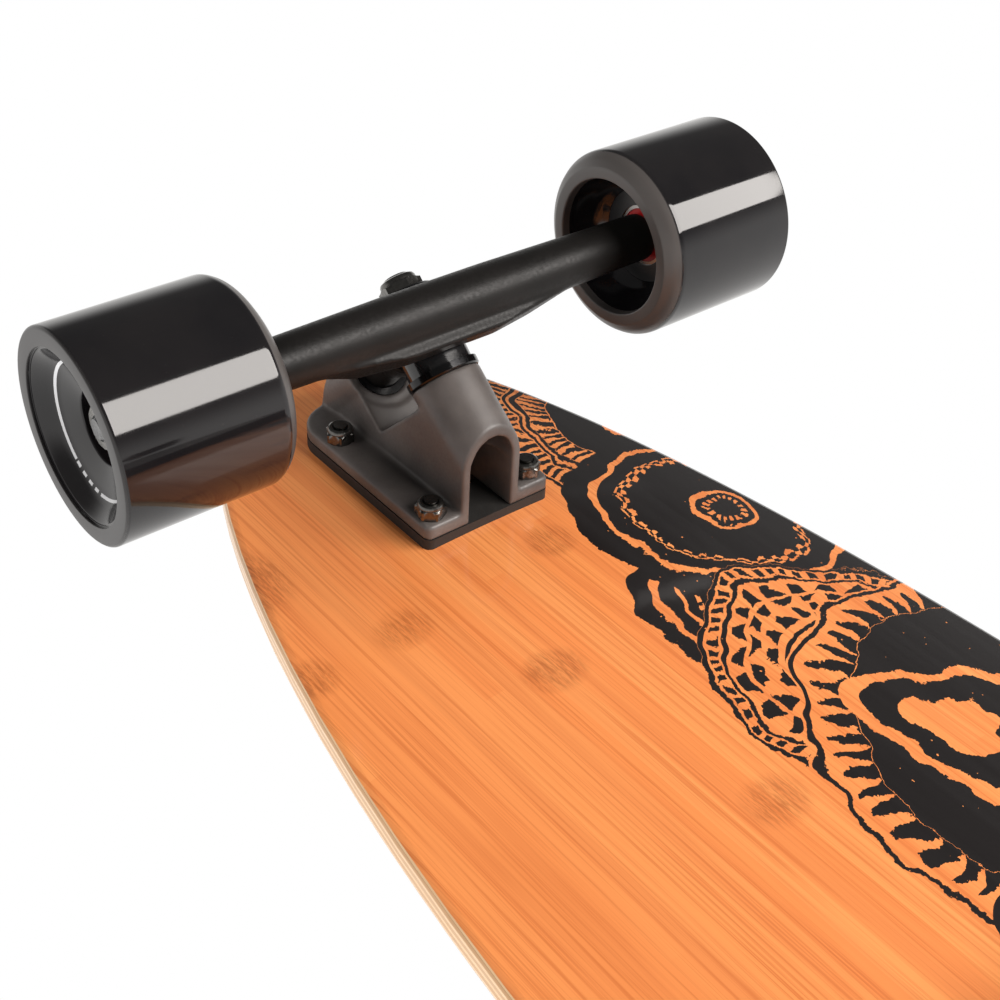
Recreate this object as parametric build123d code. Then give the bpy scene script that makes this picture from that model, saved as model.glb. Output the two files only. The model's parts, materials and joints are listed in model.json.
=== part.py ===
"""Electric longboard skateboard: laminated deck, two reverse-kingpin trucks, four wheels, rear hub motors.

Row frame, millimetres: +Z up, +X towards the nose, +Y to the rider's left when facing the nose.
The origin is on the ground under the middle of the deck. Each truck is modelled in its own frame, with
u towards the deck's end and the deck's underside at Z = 0, and is then placed at the front and the rear.
"""
from build123d import *
from math import asin, cos, degrees, pi, radians, sin, tan
import os

# ---------------------------------------------------------------- driving dimensions
deck_length = 970.0
deck_width = 224.0
nose_taper_length = 380.0        # length of the elliptical stretch at each end of the outline
concave_radius = 574.0           # radius of the underside across the board
ply_stack = 10.4                 # maple core
veneer_thickness = 0.8           # bamboo face under the core
grip_thickness = 0.8
deck_edge_round = 3.2

truck_spacing = 760.0            # between the two hole patterns
axle_to_deck = 70.5              # from the deck's underside down to the axle
axle_inboard = 3.1               # axle, from the pattern's centre towards the middle of the board
pivot_angle = 48.4               # steering axis, measured from the deck
hole_spacing_x = 53.98
hole_spacing_y = 41.28

riser_thickness = 3.5
riser_window = (30.0, 18.0)      # opening in the middle of the riser
plate_thickness = 5.5
plate_inboard = 33.5             # plate edge, from the pattern's centre
plate_outboard = 50.0
plate_width = 53.0
plate_end_round = 14.0
plate_corner_round = 3.0
wall_width = 24.8                # body between the nuts
wall_nose_inset = 4.0            # body stops this far short of the plate's outboard end
wall_shoulder = 5.8              # top edge of the body below the washer's seat, at the tower
wall_notch = 3.5                 # and at the notch in front of it
plate_edge_chamfer = 1.0
plate_relief = (28.0, 19.0, 10.0)    # hollow under the body: along, across and depth
relief_middle = 8.0

bolt_radius = 2.4
bolt_head_radius = 4.6
bolt_head_height = 2.4
bolt_tail = 0.6                  # bolt past its nut
bolt_clearance = 0.2
lock_nut_flats = 9.5
lock_nut_height = 5.6

kingpin_radius = 4.75
kingpin_head_height = 6.0
kingpin_flats = 14.3
kingpin_nut_height = 6.0
kingpin_tail = 0.6
kingpin_clearance = 0.3
kingpin_tip_chamfer = 0.6
seat_wall = 6.0                  # tower wall under the lower cup washer
tower_radius = 12.4
tower_bore = 8.9
tower_lean = 4.3                 # tower's turn away from the kingpin, degrees
arch_depth = 26.0                # opening in the tower's end, measured along the board
washer_thickness = 1.5
washer_lip = 1.2
washer_lip_height = 1.4
washer_clearance = 0.2           # bushing inside its lip
washer_chamfer = 0.5
board_bushing_radius = 11.6
board_bushing_length = 13.5
road_bushing_radius = 12.0
road_bushing_tip_radius = 9.6
road_bushing_length = 9.5
bushing_bore_clearance = 0.4
bushing_edge_round = 0.8

ring_thickness = 6.0             # hanger ring between the bushings
ring_radius = 15.5
ring_hole = 8.0
axle_beyond_ring = 17.27         # along the steering axis
axle_above_ring = 1.96           # along the kingpin
tube_mid_radius = 9.4
tube_end_radius = 8.4
tube_mid_length = 20.0           # from the middle to where the taper starts
yoke_half_width = 54.0
yoke_depth = 11.4                # board side of the yoke, from the ring's mid plane
yoke_road_depth = 9.5            # road side of the yoke
yoke_tip_depths = (6.5, 8.0)     # board and road sides at the yoke's ends
yoke_flat = 18.0                 # half width over which the yoke keeps its depth
pocket_clearance = 0.8           # hanger round a bushing
pivot_tip_radius = 7.2
pivot_tip_distance = 39.0        # centre of the tip, from the ring's centre
pivot_mouth_distance = 36.0
pivot_root_radius = 11.0
pivot_root_distance = 12.0
pivot_root_length = 16.0
pivot_cup_wall = 2.5
pivot_clearance = 0.3
pivot_boss_wall = 3.6

axle_radius = 4.0
hanger_width = 180.0
speed_ring_thickness = 0.6
speed_ring_radius = 5.6
bearing_width = 7.0
bearing_radius = 11.0
bearing_spacer = 10.0
inner_race_radius = 5.9
outer_race_wall = 1.3
ball_radius = 1.75
ball_count = 7
shield_thickness = 0.5
shield_gap = 0.4                 # shield to inner race
axle_nut_flats = 12.7
axle_nut_height = 7.0
axle_tail = 1.0

wheel_diameter = 67.0
wheel_width = 57.5
wheel_inner_bevel = 5.0
wheel_bevel_bulge = 0.42         # 0.5 would be a flat chamfer, 0.29 a quarter round
wheel_outer_bevel = 0.8
wheel_lip = 5.4                  # flat ring on the outer face
wheel_groove = 0.8
wheel_dish_turn = (21.5, 6.4)      # radius and depth where the outer dish turns from steep to shallow
wheel_dish_mouth = (11.6, 9.3)     # radius and depth of the round opening in its middle
wheel_core_radius = 17.0
wheel_core_web = 9.0             # bore between the bearings
wheel_core_shoulder = 0.6        # core past each bearing
wheel_bowl_radius = 24.5         # mouth of the recess on the truck's side

motor_hanger_width = 143.0       # rear hanger, between the motor shafts' shoulders
motor_can_radius = 27.6
motor_can_wall = 2.0
motor_can_lip = 6.0              # can stops this far short of the wheel's outer face
motor_plate = 8.0
motor_cover = 6.0
motor_shaft_radius = 7.5
motor_bearing_radius = 14.0
motor_race_wall = 1.6
motor_ball_count = 11
magnet_thickness = 2.7
magnet_count = 14
magnet_gap = 1.2
air_gap = 0.4
stator_length = 20.0
stator_teeth = 12
stator_core_radius = 12.5
tooth_width = 3.6
tooth_tip = 1.6
tooth_slot = 2.0
winding_overhang = 2.5
winding_gap = 0.3
motor_side_gap = 1.5

enclosure_length = 361.0
enclosure_front = 90.0           # front wall, from the middle of the board
enclosure_width = 140.0
enclosure_depth = 32.0
enclosure_wall = 3.0
enclosure_corner = 14.0
enclosure_bottom_round = 6.0
flange_width = 12.0
flange_thickness = 3.0
gasket_thickness = 1.5
cover_screw_radius = 2.0
cover_screw_clearance = 0.3
cover_screw_grip = 8.0           # length of the screw inside the deck
cover_screw_head = (3.8, 2.4)    # radius and height

cell_radius = 9.2
cell_length = 65.0
cell_rows = 10
cell_pitch = 18.8
cell_gap = 0.2
cell_button = (2.8, 0.6)         # radius and height
tray_depth = 6.0
board_size = (48.0, 84.0, 1.6)
board_standoff = (6.0, 3.0)      # width and height
board_chip = (9.0, 6.0, 4.0)
board_chip_count = 8
board_heatsink = (14.0, 40.0, 6.0)
controller_size = (72.0, 92.0, 18.0)
controller_middle = 50.0         # from the enclosure's rear wall
fin_pitch = 10.0
fin_gap = 4.0
fin_depth = 5.0

port_radius = 7.0
port_flange = (9.5, 1.6)         # radius and height
port_bore = 2.75
port_depth = 9.0
port_length = 13.0
port_x = -145.0
button_radius = 7.5
button_proud = 2.4
button_length = 9.0
button_clearance = 0.2
bezel_radius = 10.5
bezel_proud = 1.0

gland_bore = 2.5
gland_radius = 6.0
gland_length = 10.0
gland_neck = 2.0                 # neck through the wall, smaller than the gland
gland_cap = 4.0
gland_spacing = 96.0
gland_height = 10.7              # above the enclosure's floor face

# ---------------------------------------------------------------- derived places
wheel_radius = wheel_diameter / 2
deck_thickness = ply_stack + veneer_thickness + grip_thickness
underside = wheel_radius + axle_to_deck
truck_x = truck_spacing / 2
axle_x = truck_x - axle_inboard
wheel_mid = hanger_width / 2 + speed_ring_thickness + bearing_width + bearing_spacer / 2
wheel_inner_face = wheel_mid - wheel_width / 2
wheel_outer_face = wheel_mid + wheel_width / 2
enclosure_rear = enclosure_front - enclosure_length
enclosure_mid = enclosure_front - enclosure_length / 2
enclosure_bottom = underside - enclosure_depth

FRONT = Pos(truck_x, 0, underside)
REAR = Pos(-truck_x, 0, underside) * Rot(0, 0, 180)

tilt = radians(pivot_angle)
pivot_dir = Vector(-cos(tilt), 0, -sin(tilt))          # from the ring towards the axle
kingpin_dir = Vector(sin(tilt), 0, -cos(tilt))         # from the tower towards the kingpin's nut
axle_local = Vector(-axle_inboard, 0, -axle_to_deck)
ring_centre = axle_local - pivot_dir * axle_beyond_ring - kingpin_dir * axle_above_ring
RING = Plane(origin=ring_centre, x_dir=pivot_dir, z_dir=kingpin_dir).location

half_ring = ring_thickness / 2
seat_height = half_ring + board_bushing_length + washer_thickness     # tower seat below the ring's mid plane
nut_seat = half_ring + road_bushing_length + washer_thickness
plate_face = riser_thickness + plate_thickness


# ---------------------------------------------------------------- small helpers
def polygon(points):
    return make_face(Polyline(*points, close=True))


def turned(points):
    """Solid of revolution about Y from (radius, y) points."""
    return revolve(polygon(points), axis=Axis.Y)


def rod(radius, start, end):
    """Cylinder on the Z axis between two heights."""
    return Pos(0, 0, start) * Cylinder(radius, end - start, align=(Align.CENTER, Align.CENTER, Align.MIN))


def cross_rod(radius, start, end):
    """Cylinder on the Y axis between two places."""
    return turned([(0, start), (radius, start), (radius, end), (0, end)])


def hexagon(flats, start, end):
    """Hexagonal prism on the Z axis, with its corners turned off at both ends."""
    corner = flats / 2 / cos(pi / 6)
    prism = Pos(0, 0, start) * extrude(RegularPolygon(corner, 6), end - start)
    bevel = corner - flats / 2
    blank = chamfer(rod(corner, start, end).edges().filter_by(GeomType.CIRCLE), bevel * 0.8)
    return prism & blank


def group(solids):
    return Compound(children=[s for piece in solids for s in piece.solids()])


def both_sides(piece):
    return group([piece, mirror(piece, about=Plane.XZ)])


def trough(radius):
    """Cylinder along the board, coaxial with the concave."""
    return Pos(0, 0, underside + concave_radius) * Rot(0, 90, 0) * Cylinder(radius, deck_length + 60)


def layer(top, bottom):
    """Curved layer of the board between two depths, measured down from the underside."""
    return trough(concave_radius + bottom) - trough(concave_radius + top)


def on_trough(x, y, depth):
    """Place on the curved underside: local +Z points into the board."""
    turn = degrees(asin(y / (concave_radius + depth)))
    return Pos(x, 0, underside + concave_radius) * Rot(turn, 0, 0) * Pos(0, 0, -(concave_radius + depth))


# ---------------------------------------------------------------- deck
def hole_places():
    return [
        (side * truck_x + dx * hole_spacing_x / 2, dy * hole_spacing_y / 2)
        for side in (1, -1)
        for dx in (1, -1)
        for dy in (1, -1)
    ]


def bolt_blank(extra):
    """Countersunk bolt, head up, with its top face at Z = 0."""
    shank = rod(bolt_radius + extra, -60, 0)
    cone = Cone(bolt_radius + extra, bolt_head_radius + extra, bolt_head_height,
                align=(Align.CENTER, Align.CENTER, Align.MAX))
    return shank + cone


def bolt_top():
    rise = hole_spacing_y ** 2 / 8 / (concave_radius - deck_thickness)
    return underside + deck_thickness + rise - 0.2


def cover_screw_places():
    long_side = enclosure_width / 2 + flange_width / 2
    short_side = enclosure_length / 2 + flange_width / 2
    run = enclosure_length - 2 * enclosure_corner
    sides = [(enclosure_mid + run * (i / 4 - 0.5), s * long_side) for i in range(5) for s in (1, -1)]
    ends = [(enclosure_mid + e * short_side, 0) for e in (1, -1)]
    return sides + ends


def make_deck():
    straight = deck_length - 2 * nose_taper_length
    end = Ellipse(nose_taper_length, deck_width / 2)
    plan = Rectangle(straight, deck_width) + Pos(straight / 2, 0) * end + Pos(-straight / 2, 0) * end
    prism = Pos(0, 0, underside - 20) * extrude(plan, 90)
    blank = prism & layer(-deck_thickness, 0)
    rims = blank.edges().filter_by(Axis.Z, reverse=True)
    blank = fillet(rims, deck_edge_round)
    holes = [Pos(x, y, bolt_top()) * bolt_blank(bolt_clearance) for x, y in hole_places()]
    screw_depth = gasket_thickness + flange_thickness + cover_screw_grip
    screws = [
        on_trough(x, y, gasket_thickness + flange_thickness) * rod(cover_screw_radius, 0, screw_depth)
        for x, y in cover_screw_places()
    ]
    blank = blank - holes - screws
    core_top = -(veneer_thickness + ply_stack)
    return {
        "bottom_veneer": blank & layer(-veneer_thickness, 0),
        "deck_plies": blank & layer(core_top, -veneer_thickness),
        "grip_tape": blank & layer(-deck_thickness, core_top),
    }


def make_mounting_hardware():
    bolts = []
    nuts = []
    nut_top = underside - plate_face
    tail = nut_top - lock_nut_height - bolt_tail
    socket = extrude(RegularPolygon(1.9, 6), -1.6)
    for x, y in hole_places():
        bolt = Pos(x, y, bolt_top()) * (bolt_blank(0) - socket)
        keep = Pos(x, y, tail) * Box(20, 20, 200, align=(Align.CENTER, Align.CENTER, Align.MIN))
        bolts.append(bolt & keep)
        nut = hexagon(lock_nut_flats, -lock_nut_height, 0) - rod(bolt_radius, -lock_nut_height, 0)
        nuts.append(Pos(x, y, nut_top) * nut)
    return {"mounting_bolts": group(bolts), "mounting_nuts": group(nuts)}


# ---------------------------------------------------------------- trucks, in the truck's own frame
def plate_plan(inset):
    length = plate_inboard + plate_outboard - 2 * inset
    middle = (plate_outboard - plate_inboard) / 2
    plan = Pos(middle, 0) * Rectangle(length, plate_width - 2 * inset)
    plan = fillet(plan.vertices().sort_by(Axis.X)[-2:], plate_end_round - inset)
    return fillet(plan.vertices().sort_by(Axis.X)[:2], plate_corner_round)


def pattern_holes(radius):
    spots = [(sx * hole_spacing_x / 2, sy * hole_spacing_y / 2) for sx in (1, -1) for sy in (1, -1)]
    return [Pos(x, y, 0) * rod(radius, -80, 20) for x, y in spots]


def make_riser(place):
    """Rubber pad: flat below, and curved above to bed on the deck's underside."""
    pad = Pos(0, 0, -riser_thickness) * extrude(plate_plan(0), riser_thickness + 5)
    window = Pos(0, 0, -riser_thickness) * extrude(RectangleRounded(*riser_window, 3), 20)
    pad = pad - window - pattern_holes(bolt_radius + bolt_clearance)
    return place * pad - trough(concave_radius)


def tower_end_height():
    """Height of the tower's own axis where it leaves the plate's inboard end."""
    seat = ring_centre - kingpin_dir * seat_height
    return seat.Z + (seat.X + plate_inboard) * tan(pi / 2 - tilt - radians(tower_lean))


def side_profile():
    """Baseplate body seen from the side, in (u, Z), below the tower and the pivot boss."""
    shoulder = ring_centre - kingpin_dir * (seat_height + wall_shoulder)
    notch = ring_centre - kingpin_dir * (seat_height + wall_notch) - pivot_dir * (pivot_mouth_distance - 1)
    mouth = ring_centre - pivot_dir * pivot_mouth_distance
    nose_end = plate_outboard - wall_nose_inset
    return [
        (-plate_inboard, -riser_thickness),
        (-plate_inboard, tower_end_height()),
        (shoulder.X, shoulder.Z),
        (notch.X, notch.Z),
        (mouth.X, mouth.Z),
        (nose_end, mouth.Z),
        (nose_end, -riser_thickness),
    ]


def make_baseplate():
    slab = Pos(0, 0, -plate_face) * extrude(plate_plan(0), plate_thickness)
    slab = chamfer(slab.edges().group_by(Axis.Z)[0], plate_edge_chamfer)
    walls = Plane.XZ.location * extrude(polygon(side_profile()), wall_width / 2, both=True)
    leaning = RING * Pos(0, 0, -seat_height) * Rot(0, -tower_lean, 0)
    tower = leaning * rod(tower_radius, -60, 2) & RING * rod(2 * tower_radius, -seat_height - 60, -seat_height)
    mouth = Plane(origin=ring_centre, x_dir=(0, 1, 0), z_dir=-pivot_dir).location
    boss_radius = pivot_tip_radius + pivot_clearance + pivot_cup_wall + pivot_boss_wall
    boss = mouth * rod(boss_radius, pivot_mouth_distance, pivot_mouth_distance + 40)
    limits = Pos(0, 0, -riser_thickness) * extrude(plate_plan(0), -80)
    plate = slab + ((walls + tower + boss) & limits)

    cup_end = pivot_tip_distance + pivot_tip_radius + pivot_clearance + pivot_cup_wall
    cup_bore = mouth * rod(boss_radius - pivot_boss_wall, pivot_mouth_distance, cup_end)
    swing_room = mouth * rod(boss_radius + 1, -10, pivot_mouth_distance)
    bore_floor = -seat_height - seat_wall
    head_bore = RING * rod(tower_bore, bore_floor - kingpin_head_height - 3, bore_floor)
    long_bore = leaning * rod(tower_bore, -60, -seat_wall - 3)
    arch_height = -riser_thickness - tower_end_height()
    arch = Pos(-plate_inboard - 1, 0, -riser_thickness) * Box(
        arch_depth + 1, 2 * tower_bore, arch_height, align=(Align.MIN, Align.CENTER, Align.MAX))
    pin_hole = RING * rod(kingpin_radius + kingpin_clearance, bore_floor - 1, 0)
    along, across, depth = plate_relief
    relief = Pos(relief_middle, 0, -riser_thickness) * extrude(RectangleRounded(along, across, 3), -depth)
    cuts = [cup_bore, swing_room, head_bore, long_bore, arch, pin_hole, relief]
    return plate - cuts - pattern_holes(bolt_radius + bolt_clearance)


def make_pivot_cup():
    mouth = Plane(origin=ring_centre, x_dir=(0, 1, 0), z_dir=-pivot_dir).location
    inside = pivot_tip_radius + pivot_clearance
    end = pivot_tip_distance + inside + pivot_cup_wall
    cup = rod(inside + pivot_cup_wall, pivot_mouth_distance, end)
    hollow = rod(inside, pivot_mouth_distance - 1, pivot_tip_distance) + Pos(0, 0, pivot_tip_distance) * Sphere(inside)
    return mouth * (cup - hollow)


def make_kingpin_set():
    head_top = -seat_height - seat_wall
    top = nut_seat + kingpin_nut_height + kingpin_tail
    pin = hexagon(kingpin_flats, head_top - kingpin_head_height, head_top) + rod(kingpin_radius, head_top, top)
    pin = chamfer(pin.edges().filter_by(GeomType.CIRCLE).sort_by(Axis.Z)[-1], kingpin_tip_chamfer)
    nut_end = nut_seat + kingpin_nut_height
    nut = hexagon(kingpin_flats, nut_seat, nut_end) - rod(kingpin_radius, nut_seat, nut_end)
    hole = rod(kingpin_radius, -60, 60)
    low_radius = board_bushing_radius + washer_clearance
    low = rod(low_radius + washer_lip, -seat_height, -seat_height + washer_thickness + washer_lip_height)
    low = low - rod(low_radius, -seat_height + washer_thickness, 0)
    high = rod(road_bushing_tip_radius + washer_lip, nut_seat - washer_thickness, nut_seat)
    low = chamfer(low.edges().filter_by(GeomType.CIRCLE).sort_by(Axis.Z)[0], washer_chamfer)
    high = chamfer(high.edges().filter_by(GeomType.CIRCLE).sort_by(Axis.Z)[-1], washer_chamfer)
    return {
        "kingpins": RING * pin,
        "kingpin_nuts": RING * nut,
        "cup_washers": RING * group([low - hole, high - hole]),
    }


def make_board_bushing():
    barrel = rod(board_bushing_radius, -half_ring - board_bushing_length, -half_ring)
    barrel = fillet(barrel.edges().filter_by(GeomType.CIRCLE), bushing_edge_round)
    return RING * (barrel - rod(kingpin_radius + bushing_bore_clearance, -60, 0))


def make_road_bushing():
    cone = Pos(0, 0, half_ring) * Cone(road_bushing_radius, road_bushing_tip_radius, road_bushing_length,
                                       align=(Align.CENTER, Align.CENTER, Align.MIN))
    cone = fillet(cone.edges().filter_by(GeomType.CIRCLE), bushing_edge_round)
    return RING * (cone - rod(kingpin_radius + bushing_bore_clearance, 0, 60))


def make_hanger(width):
    """Cast crossbar with its ring, yoke and pivot, built about the ring's centre: x along the steering
    axis towards the axle, z along the kingpin."""
    half = width / 2
    tube = turned([
        (0, -half), (tube_end_radius, -half), (tube_mid_radius, -tube_mid_length),
        (tube_mid_radius, tube_mid_length), (tube_end_radius, half), (0, half),
    ])
    tube = Pos(axle_beyond_ring, 0, axle_above_ring) * tube
    ring = rod(ring_radius, -half_ring, half_ring)

    reach = axle_beyond_ring + 3
    plan = polygon([
        (-4, ring_radius - 1), (axle_beyond_ring, yoke_half_width), (reach, yoke_half_width),
        (reach, -yoke_half_width), (axle_beyond_ring, -yoke_half_width), (-4, -ring_radius + 1),
    ])
    board_tip, road_tip = yoke_tip_depths
    front = polygon([
        (-yoke_half_width, -board_tip), (-yoke_flat, -yoke_depth), (yoke_flat, -yoke_depth),
        (yoke_half_width, -board_tip), (yoke_half_width, road_tip), (yoke_flat, yoke_road_depth),
        (-yoke_flat, yoke_road_depth), (-yoke_half_width, road_tip),
    ])
    side = polygon([
        (-6, -half_ring), (3, -half_ring - 1.5), (11, -yoke_depth), (reach, -yoke_depth),
        (reach, yoke_road_depth), (10, 8), (2, half_ring + 0.5), (-6, half_ring),
    ])
    yoke = extrude(plan, 40, both=True)
    yoke = yoke & Plane.YZ.location * extrude(front, 60, both=True)
    yoke = yoke & Plane.XZ.location * extrude(side, 90, both=True)

    nose = Rot(0, -90, 0) * (
        rod(pivot_tip_radius, 20, pivot_tip_distance)
        + Pos(0, 0, pivot_root_distance) * Cone(pivot_root_radius, pivot_tip_radius, pivot_root_length,
                                                align=(Align.CENTER, Align.CENTER, Align.MIN))
        + Pos(0, 0, pivot_tip_distance) * Sphere(pivot_tip_radius)
    )
    board_pocket = rod(board_bushing_radius + pocket_clearance, -60, -half_ring)
    road_pocket = rod(road_bushing_radius + pocket_clearance, half_ring, 60)
    hole = rod(ring_hole, -30, 30)
    bore = Pos(axle_beyond_ring, 0, axle_above_ring) * cross_rod(axle_radius, -half, half)
    hanger = tube + ring + yoke + nose - board_pocket - road_pocket - hole - bore
    return RING * hanger


def make_axle(half_length):
    shaft = cross_rod(axle_radius, -half_length, half_length)
    shaft = chamfer(shaft.edges().filter_by(GeomType.CIRCLE), 0.8)
    return Pos(axle_local) * shaft


def make_axle_nuts(start):
    nut = hexagon(axle_nut_flats, start, start + axle_nut_height)
    nut = nut - rod(axle_radius, start, start + axle_nut_height)
    return Pos(axle_local) * both_sides(Rot(-90, 0, 0) * nut)


# ---------------------------------------------------------------- bearings and wheels, about the Y axis
def inner_race(start, bore, radius):
    end = start + bearing_width
    return turned([(bore, start), (radius, start), (radius, end), (bore, end)])


def bearing_shell(start, race_radius, radius, balls):
    """Outer race, two shields and balls of a bearing that starts at this place on the axle."""
    end = start + bearing_width
    inside = radius - outer_race_wall
    solids = [turned([(inside, start), (radius, start), (radius, end), (inside, end)])]
    for face in (start + 0.5, end - 0.5 - shield_thickness):
        lip = race_radius + shield_gap
        solids.append(turned([
            (lip, face), (inside, face), (inside, face + shield_thickness), (lip, face + shield_thickness),
        ]))
    pitch = (race_radius + inside) / 2
    size = min(ball_radius, (inside - race_radius) / 2 - 0.15)
    middle = (start + end) / 2
    for i in range(balls):
        turn = 2 * pi * i / balls
        solids.append(Pos(pitch * cos(turn), middle, pitch * sin(turn)) * Sphere(size))
    return solids


bearing_starts = [wheel_mid - bearing_spacer / 2 - bearing_width, wheel_mid + bearing_spacer / 2]


def make_wheel():
    """Left front wheel about the Y axis: tread and core."""
    inner, outer = wheel_inner_face, wheel_outer_face
    edge = wheel_radius - wheel_inner_bevel
    core_start = bearing_starts[0] - wheel_core_shoulder
    core_end = bearing_starts[1] + bearing_width + wheel_core_shoulder
    lip = wheel_radius - wheel_outer_bevel - wheel_lip
    bevel_turn = wheel_inner_bevel * wheel_bevel_bulge
    turn_radius, turn_depth = wheel_dish_turn
    mouth_radius, mouth_depth = wheel_dish_mouth
    section = make_face([
        Polyline((edge, inner), (wheel_bowl_radius, inner), (wheel_bowl_radius - 0.4, inner + 6),
                 (wheel_bowl_radius - 2.8, inner + 12),
                 (wheel_core_radius, core_start), (wheel_core_radius, core_end), (mouth_radius, core_end),
                 (mouth_radius, outer - mouth_depth), (turn_radius, outer - turn_depth),
                 (lip - wheel_groove - 1, outer - 2.2),
                 (lip - wheel_groove, outer - 1.2), (lip, outer - 1.2), (lip, outer),
                 (wheel_radius - wheel_outer_bevel, outer), (wheel_radius, outer - wheel_outer_bevel),
                 (wheel_radius, inner + wheel_inner_bevel)),
        ThreePointArc((wheel_radius, inner + wheel_inner_bevel),
                      (wheel_radius - bevel_turn, inner + bevel_turn), (edge, inner)),
    ])
    tread = revolve(section, axis=Axis.Y)
    seat_a = bearing_starts[0] + bearing_width
    seat_b = bearing_starts[1]
    core = turned([
        (bearing_radius, core_start), (wheel_core_radius, core_start), (wheel_core_radius, core_end),
        (bearing_radius, core_end), (bearing_radius, seat_b), (wheel_core_web, seat_b),
        (wheel_core_web, seat_a), (bearing_radius, seat_a),
    ])
    return tread, core


def make_front_wheels():
    parts = {}
    place = Pos(axle_x, 0, wheel_radius)
    tread, core = make_wheel()
    shells = group([s for y in bearing_starts for s in bearing_shell(y, inner_race_radius, bearing_radius, ball_count)])
    for side in ("left", "right"):
        pieces = {"tyre": tread, "core": core, "bearings": shells}
        for name, piece in pieces.items():
            shape = piece if side == "left" else mirror(piece, about=Plane.XZ)
            parts[f"front_{side}_{name}"] = place * shape
    races = [inner_race(y, axle_radius, inner_race_radius) for y in bearing_starts]
    gap_start = bearing_starts[0] + bearing_width
    spacer = turned([
        (axle_radius, gap_start), (inner_race_radius - 0.4, gap_start),
        (inner_race_radius - 0.4, gap_start + bearing_spacer), (axle_radius, gap_start + bearing_spacer),
    ])
    rings = []
    for y in (hanger_width / 2, bearing_starts[1] + bearing_width):
        end = y + speed_ring_thickness
        rings.append(turned([(axle_radius, y), (speed_ring_radius, y), (speed_ring_radius, end), (axle_radius, end)]))
    parts["front_inner_races"] = place * both_sides(group(races))
    parts["front_bearing_spacers"] = place * both_sides(spacer)
    parts["front_speed_rings"] = place * both_sides(group(rings))
    return parts


# ---------------------------------------------------------------- rear hub motors, about the Y axis
motor_shoulder = motor_hanger_width / 2
can_start = wheel_inner_face + motor_side_gap
can_end = wheel_outer_face - motor_can_lip
plate_end = can_start + motor_plate
motor_bearing_start = plate_end - bearing_width
cover_start = can_end - motor_cover - 4
end_bearing_start = cover_start - 1
stator_mid = (plate_end + cover_start) / 2
shaft_end = end_bearing_start
can_bore = motor_can_radius - motor_can_wall
rotor_bore = can_bore - magnet_thickness
stator_radius = rotor_bore - air_gap
motor_race_radius = motor_shaft_radius + motor_race_wall


def make_motor_rotor():
    """Can with its inner end plate, seating the large bearing."""
    seat = motor_bearing_radius
    return turned([
        (seat, motor_bearing_start), (seat - 2, motor_bearing_start), (seat - 2, can_start),
        (motor_can_radius, can_start), (motor_can_radius, can_end), (can_bore, can_end),
        (can_bore, plate_end), (seat, plate_end),
    ])


def make_motor_cover():
    """Outer end cover, with its bearing seat, and six holes on a circle."""
    hub = bearing_radius + 3
    stop = end_bearing_start + bearing_width
    cover = turned([
        (bearing_radius, end_bearing_start), (hub, end_bearing_start), (hub, cover_start),
        (can_bore, cover_start), (can_bore, cover_start + motor_cover), (hub, cover_start + motor_cover),
        (hub - 1, stop + 1.5), (bearing_radius, stop + 1.5),
    ])
    pitch = (hub + can_bore) / 2
    for i in range(6):
        turn = pi / 3 * i
        dimple = Pos(pitch * cos(turn), cover_start + motor_cover, pitch * sin(turn)) * cross_rod(2.2, -2.5, 1)
        cover = cover - dimple
    return cover


def make_magnets():
    step = 2 * pi / magnet_count
    half = stator_length / 2
    ring = turned([
        (rotor_bore, stator_mid - half), (can_bore, stator_mid - half),
        (can_bore, stator_mid + half), (rotor_bore, stator_mid + half),
    ])
    gaps = [
        Rot(0, degrees(step * i), 0) * Pos(can_bore, stator_mid, 0) * Box(20, stator_length + 2, magnet_gap)
        for i in range(magnet_count)
    ]
    return group([ring - gaps])


def make_stator():
    """Shaft and toothed core, fixed to the hanger."""
    half = stator_length / 2
    core = turned([
        (axle_radius, stator_mid - half), (stator_core_radius, stator_mid - half),
        (stator_core_radius, stator_mid + half), (axle_radius, stator_mid + half),
    ])
    reach = stator_radius - tooth_tip - stator_core_radius + 2
    rim = turned([
        (stator_radius - tooth_tip, stator_mid - half), (stator_radius, stator_mid - half),
        (stator_radius, stator_mid + half), (stator_radius - tooth_tip, stator_mid + half),
    ])
    step = 360 / stator_teeth
    teeth = []
    slots = []
    for i in range(stator_teeth):
        spoke = Pos(stator_core_radius + reach / 2 - 1, stator_mid, 0) * Box(reach, stator_length, tooth_width)
        teeth.append(Rot(0, step * i, 0) * spoke)
        slots.append(Rot(0, step * (i + 0.5), 0) * Pos(stator_radius, stator_mid, 0) * Box(8, stator_length + 2, tooth_slot))
    shaft = turned([
        (axle_radius, motor_shoulder), (motor_shaft_radius, motor_shoulder),
        (motor_shaft_radius, shaft_end), (axle_radius, shaft_end),
    ])
    return core + (rim - slots) + teeth + shaft


def make_windings():
    """One coil round each tooth, as a rectangular ring."""
    inside = stator_core_radius + winding_gap
    outside = stator_radius - tooth_tip - winding_gap
    depth = outside - inside
    slot_width = 2 * inside * tan(pi / stator_teeth) - 0.4
    coils = []
    for i in range(stator_teeth):
        block = Box(depth, stator_length + 2 * winding_overhang, slot_width)
        block = block - Box(depth + 1, stator_length + winding_gap, tooth_width + winding_gap)
        coils.append(Rot(0, 360 / stator_teeth * i, 0) * Pos((inside + outside) / 2, stator_mid, 0) * block)
    return group(coils)


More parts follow.
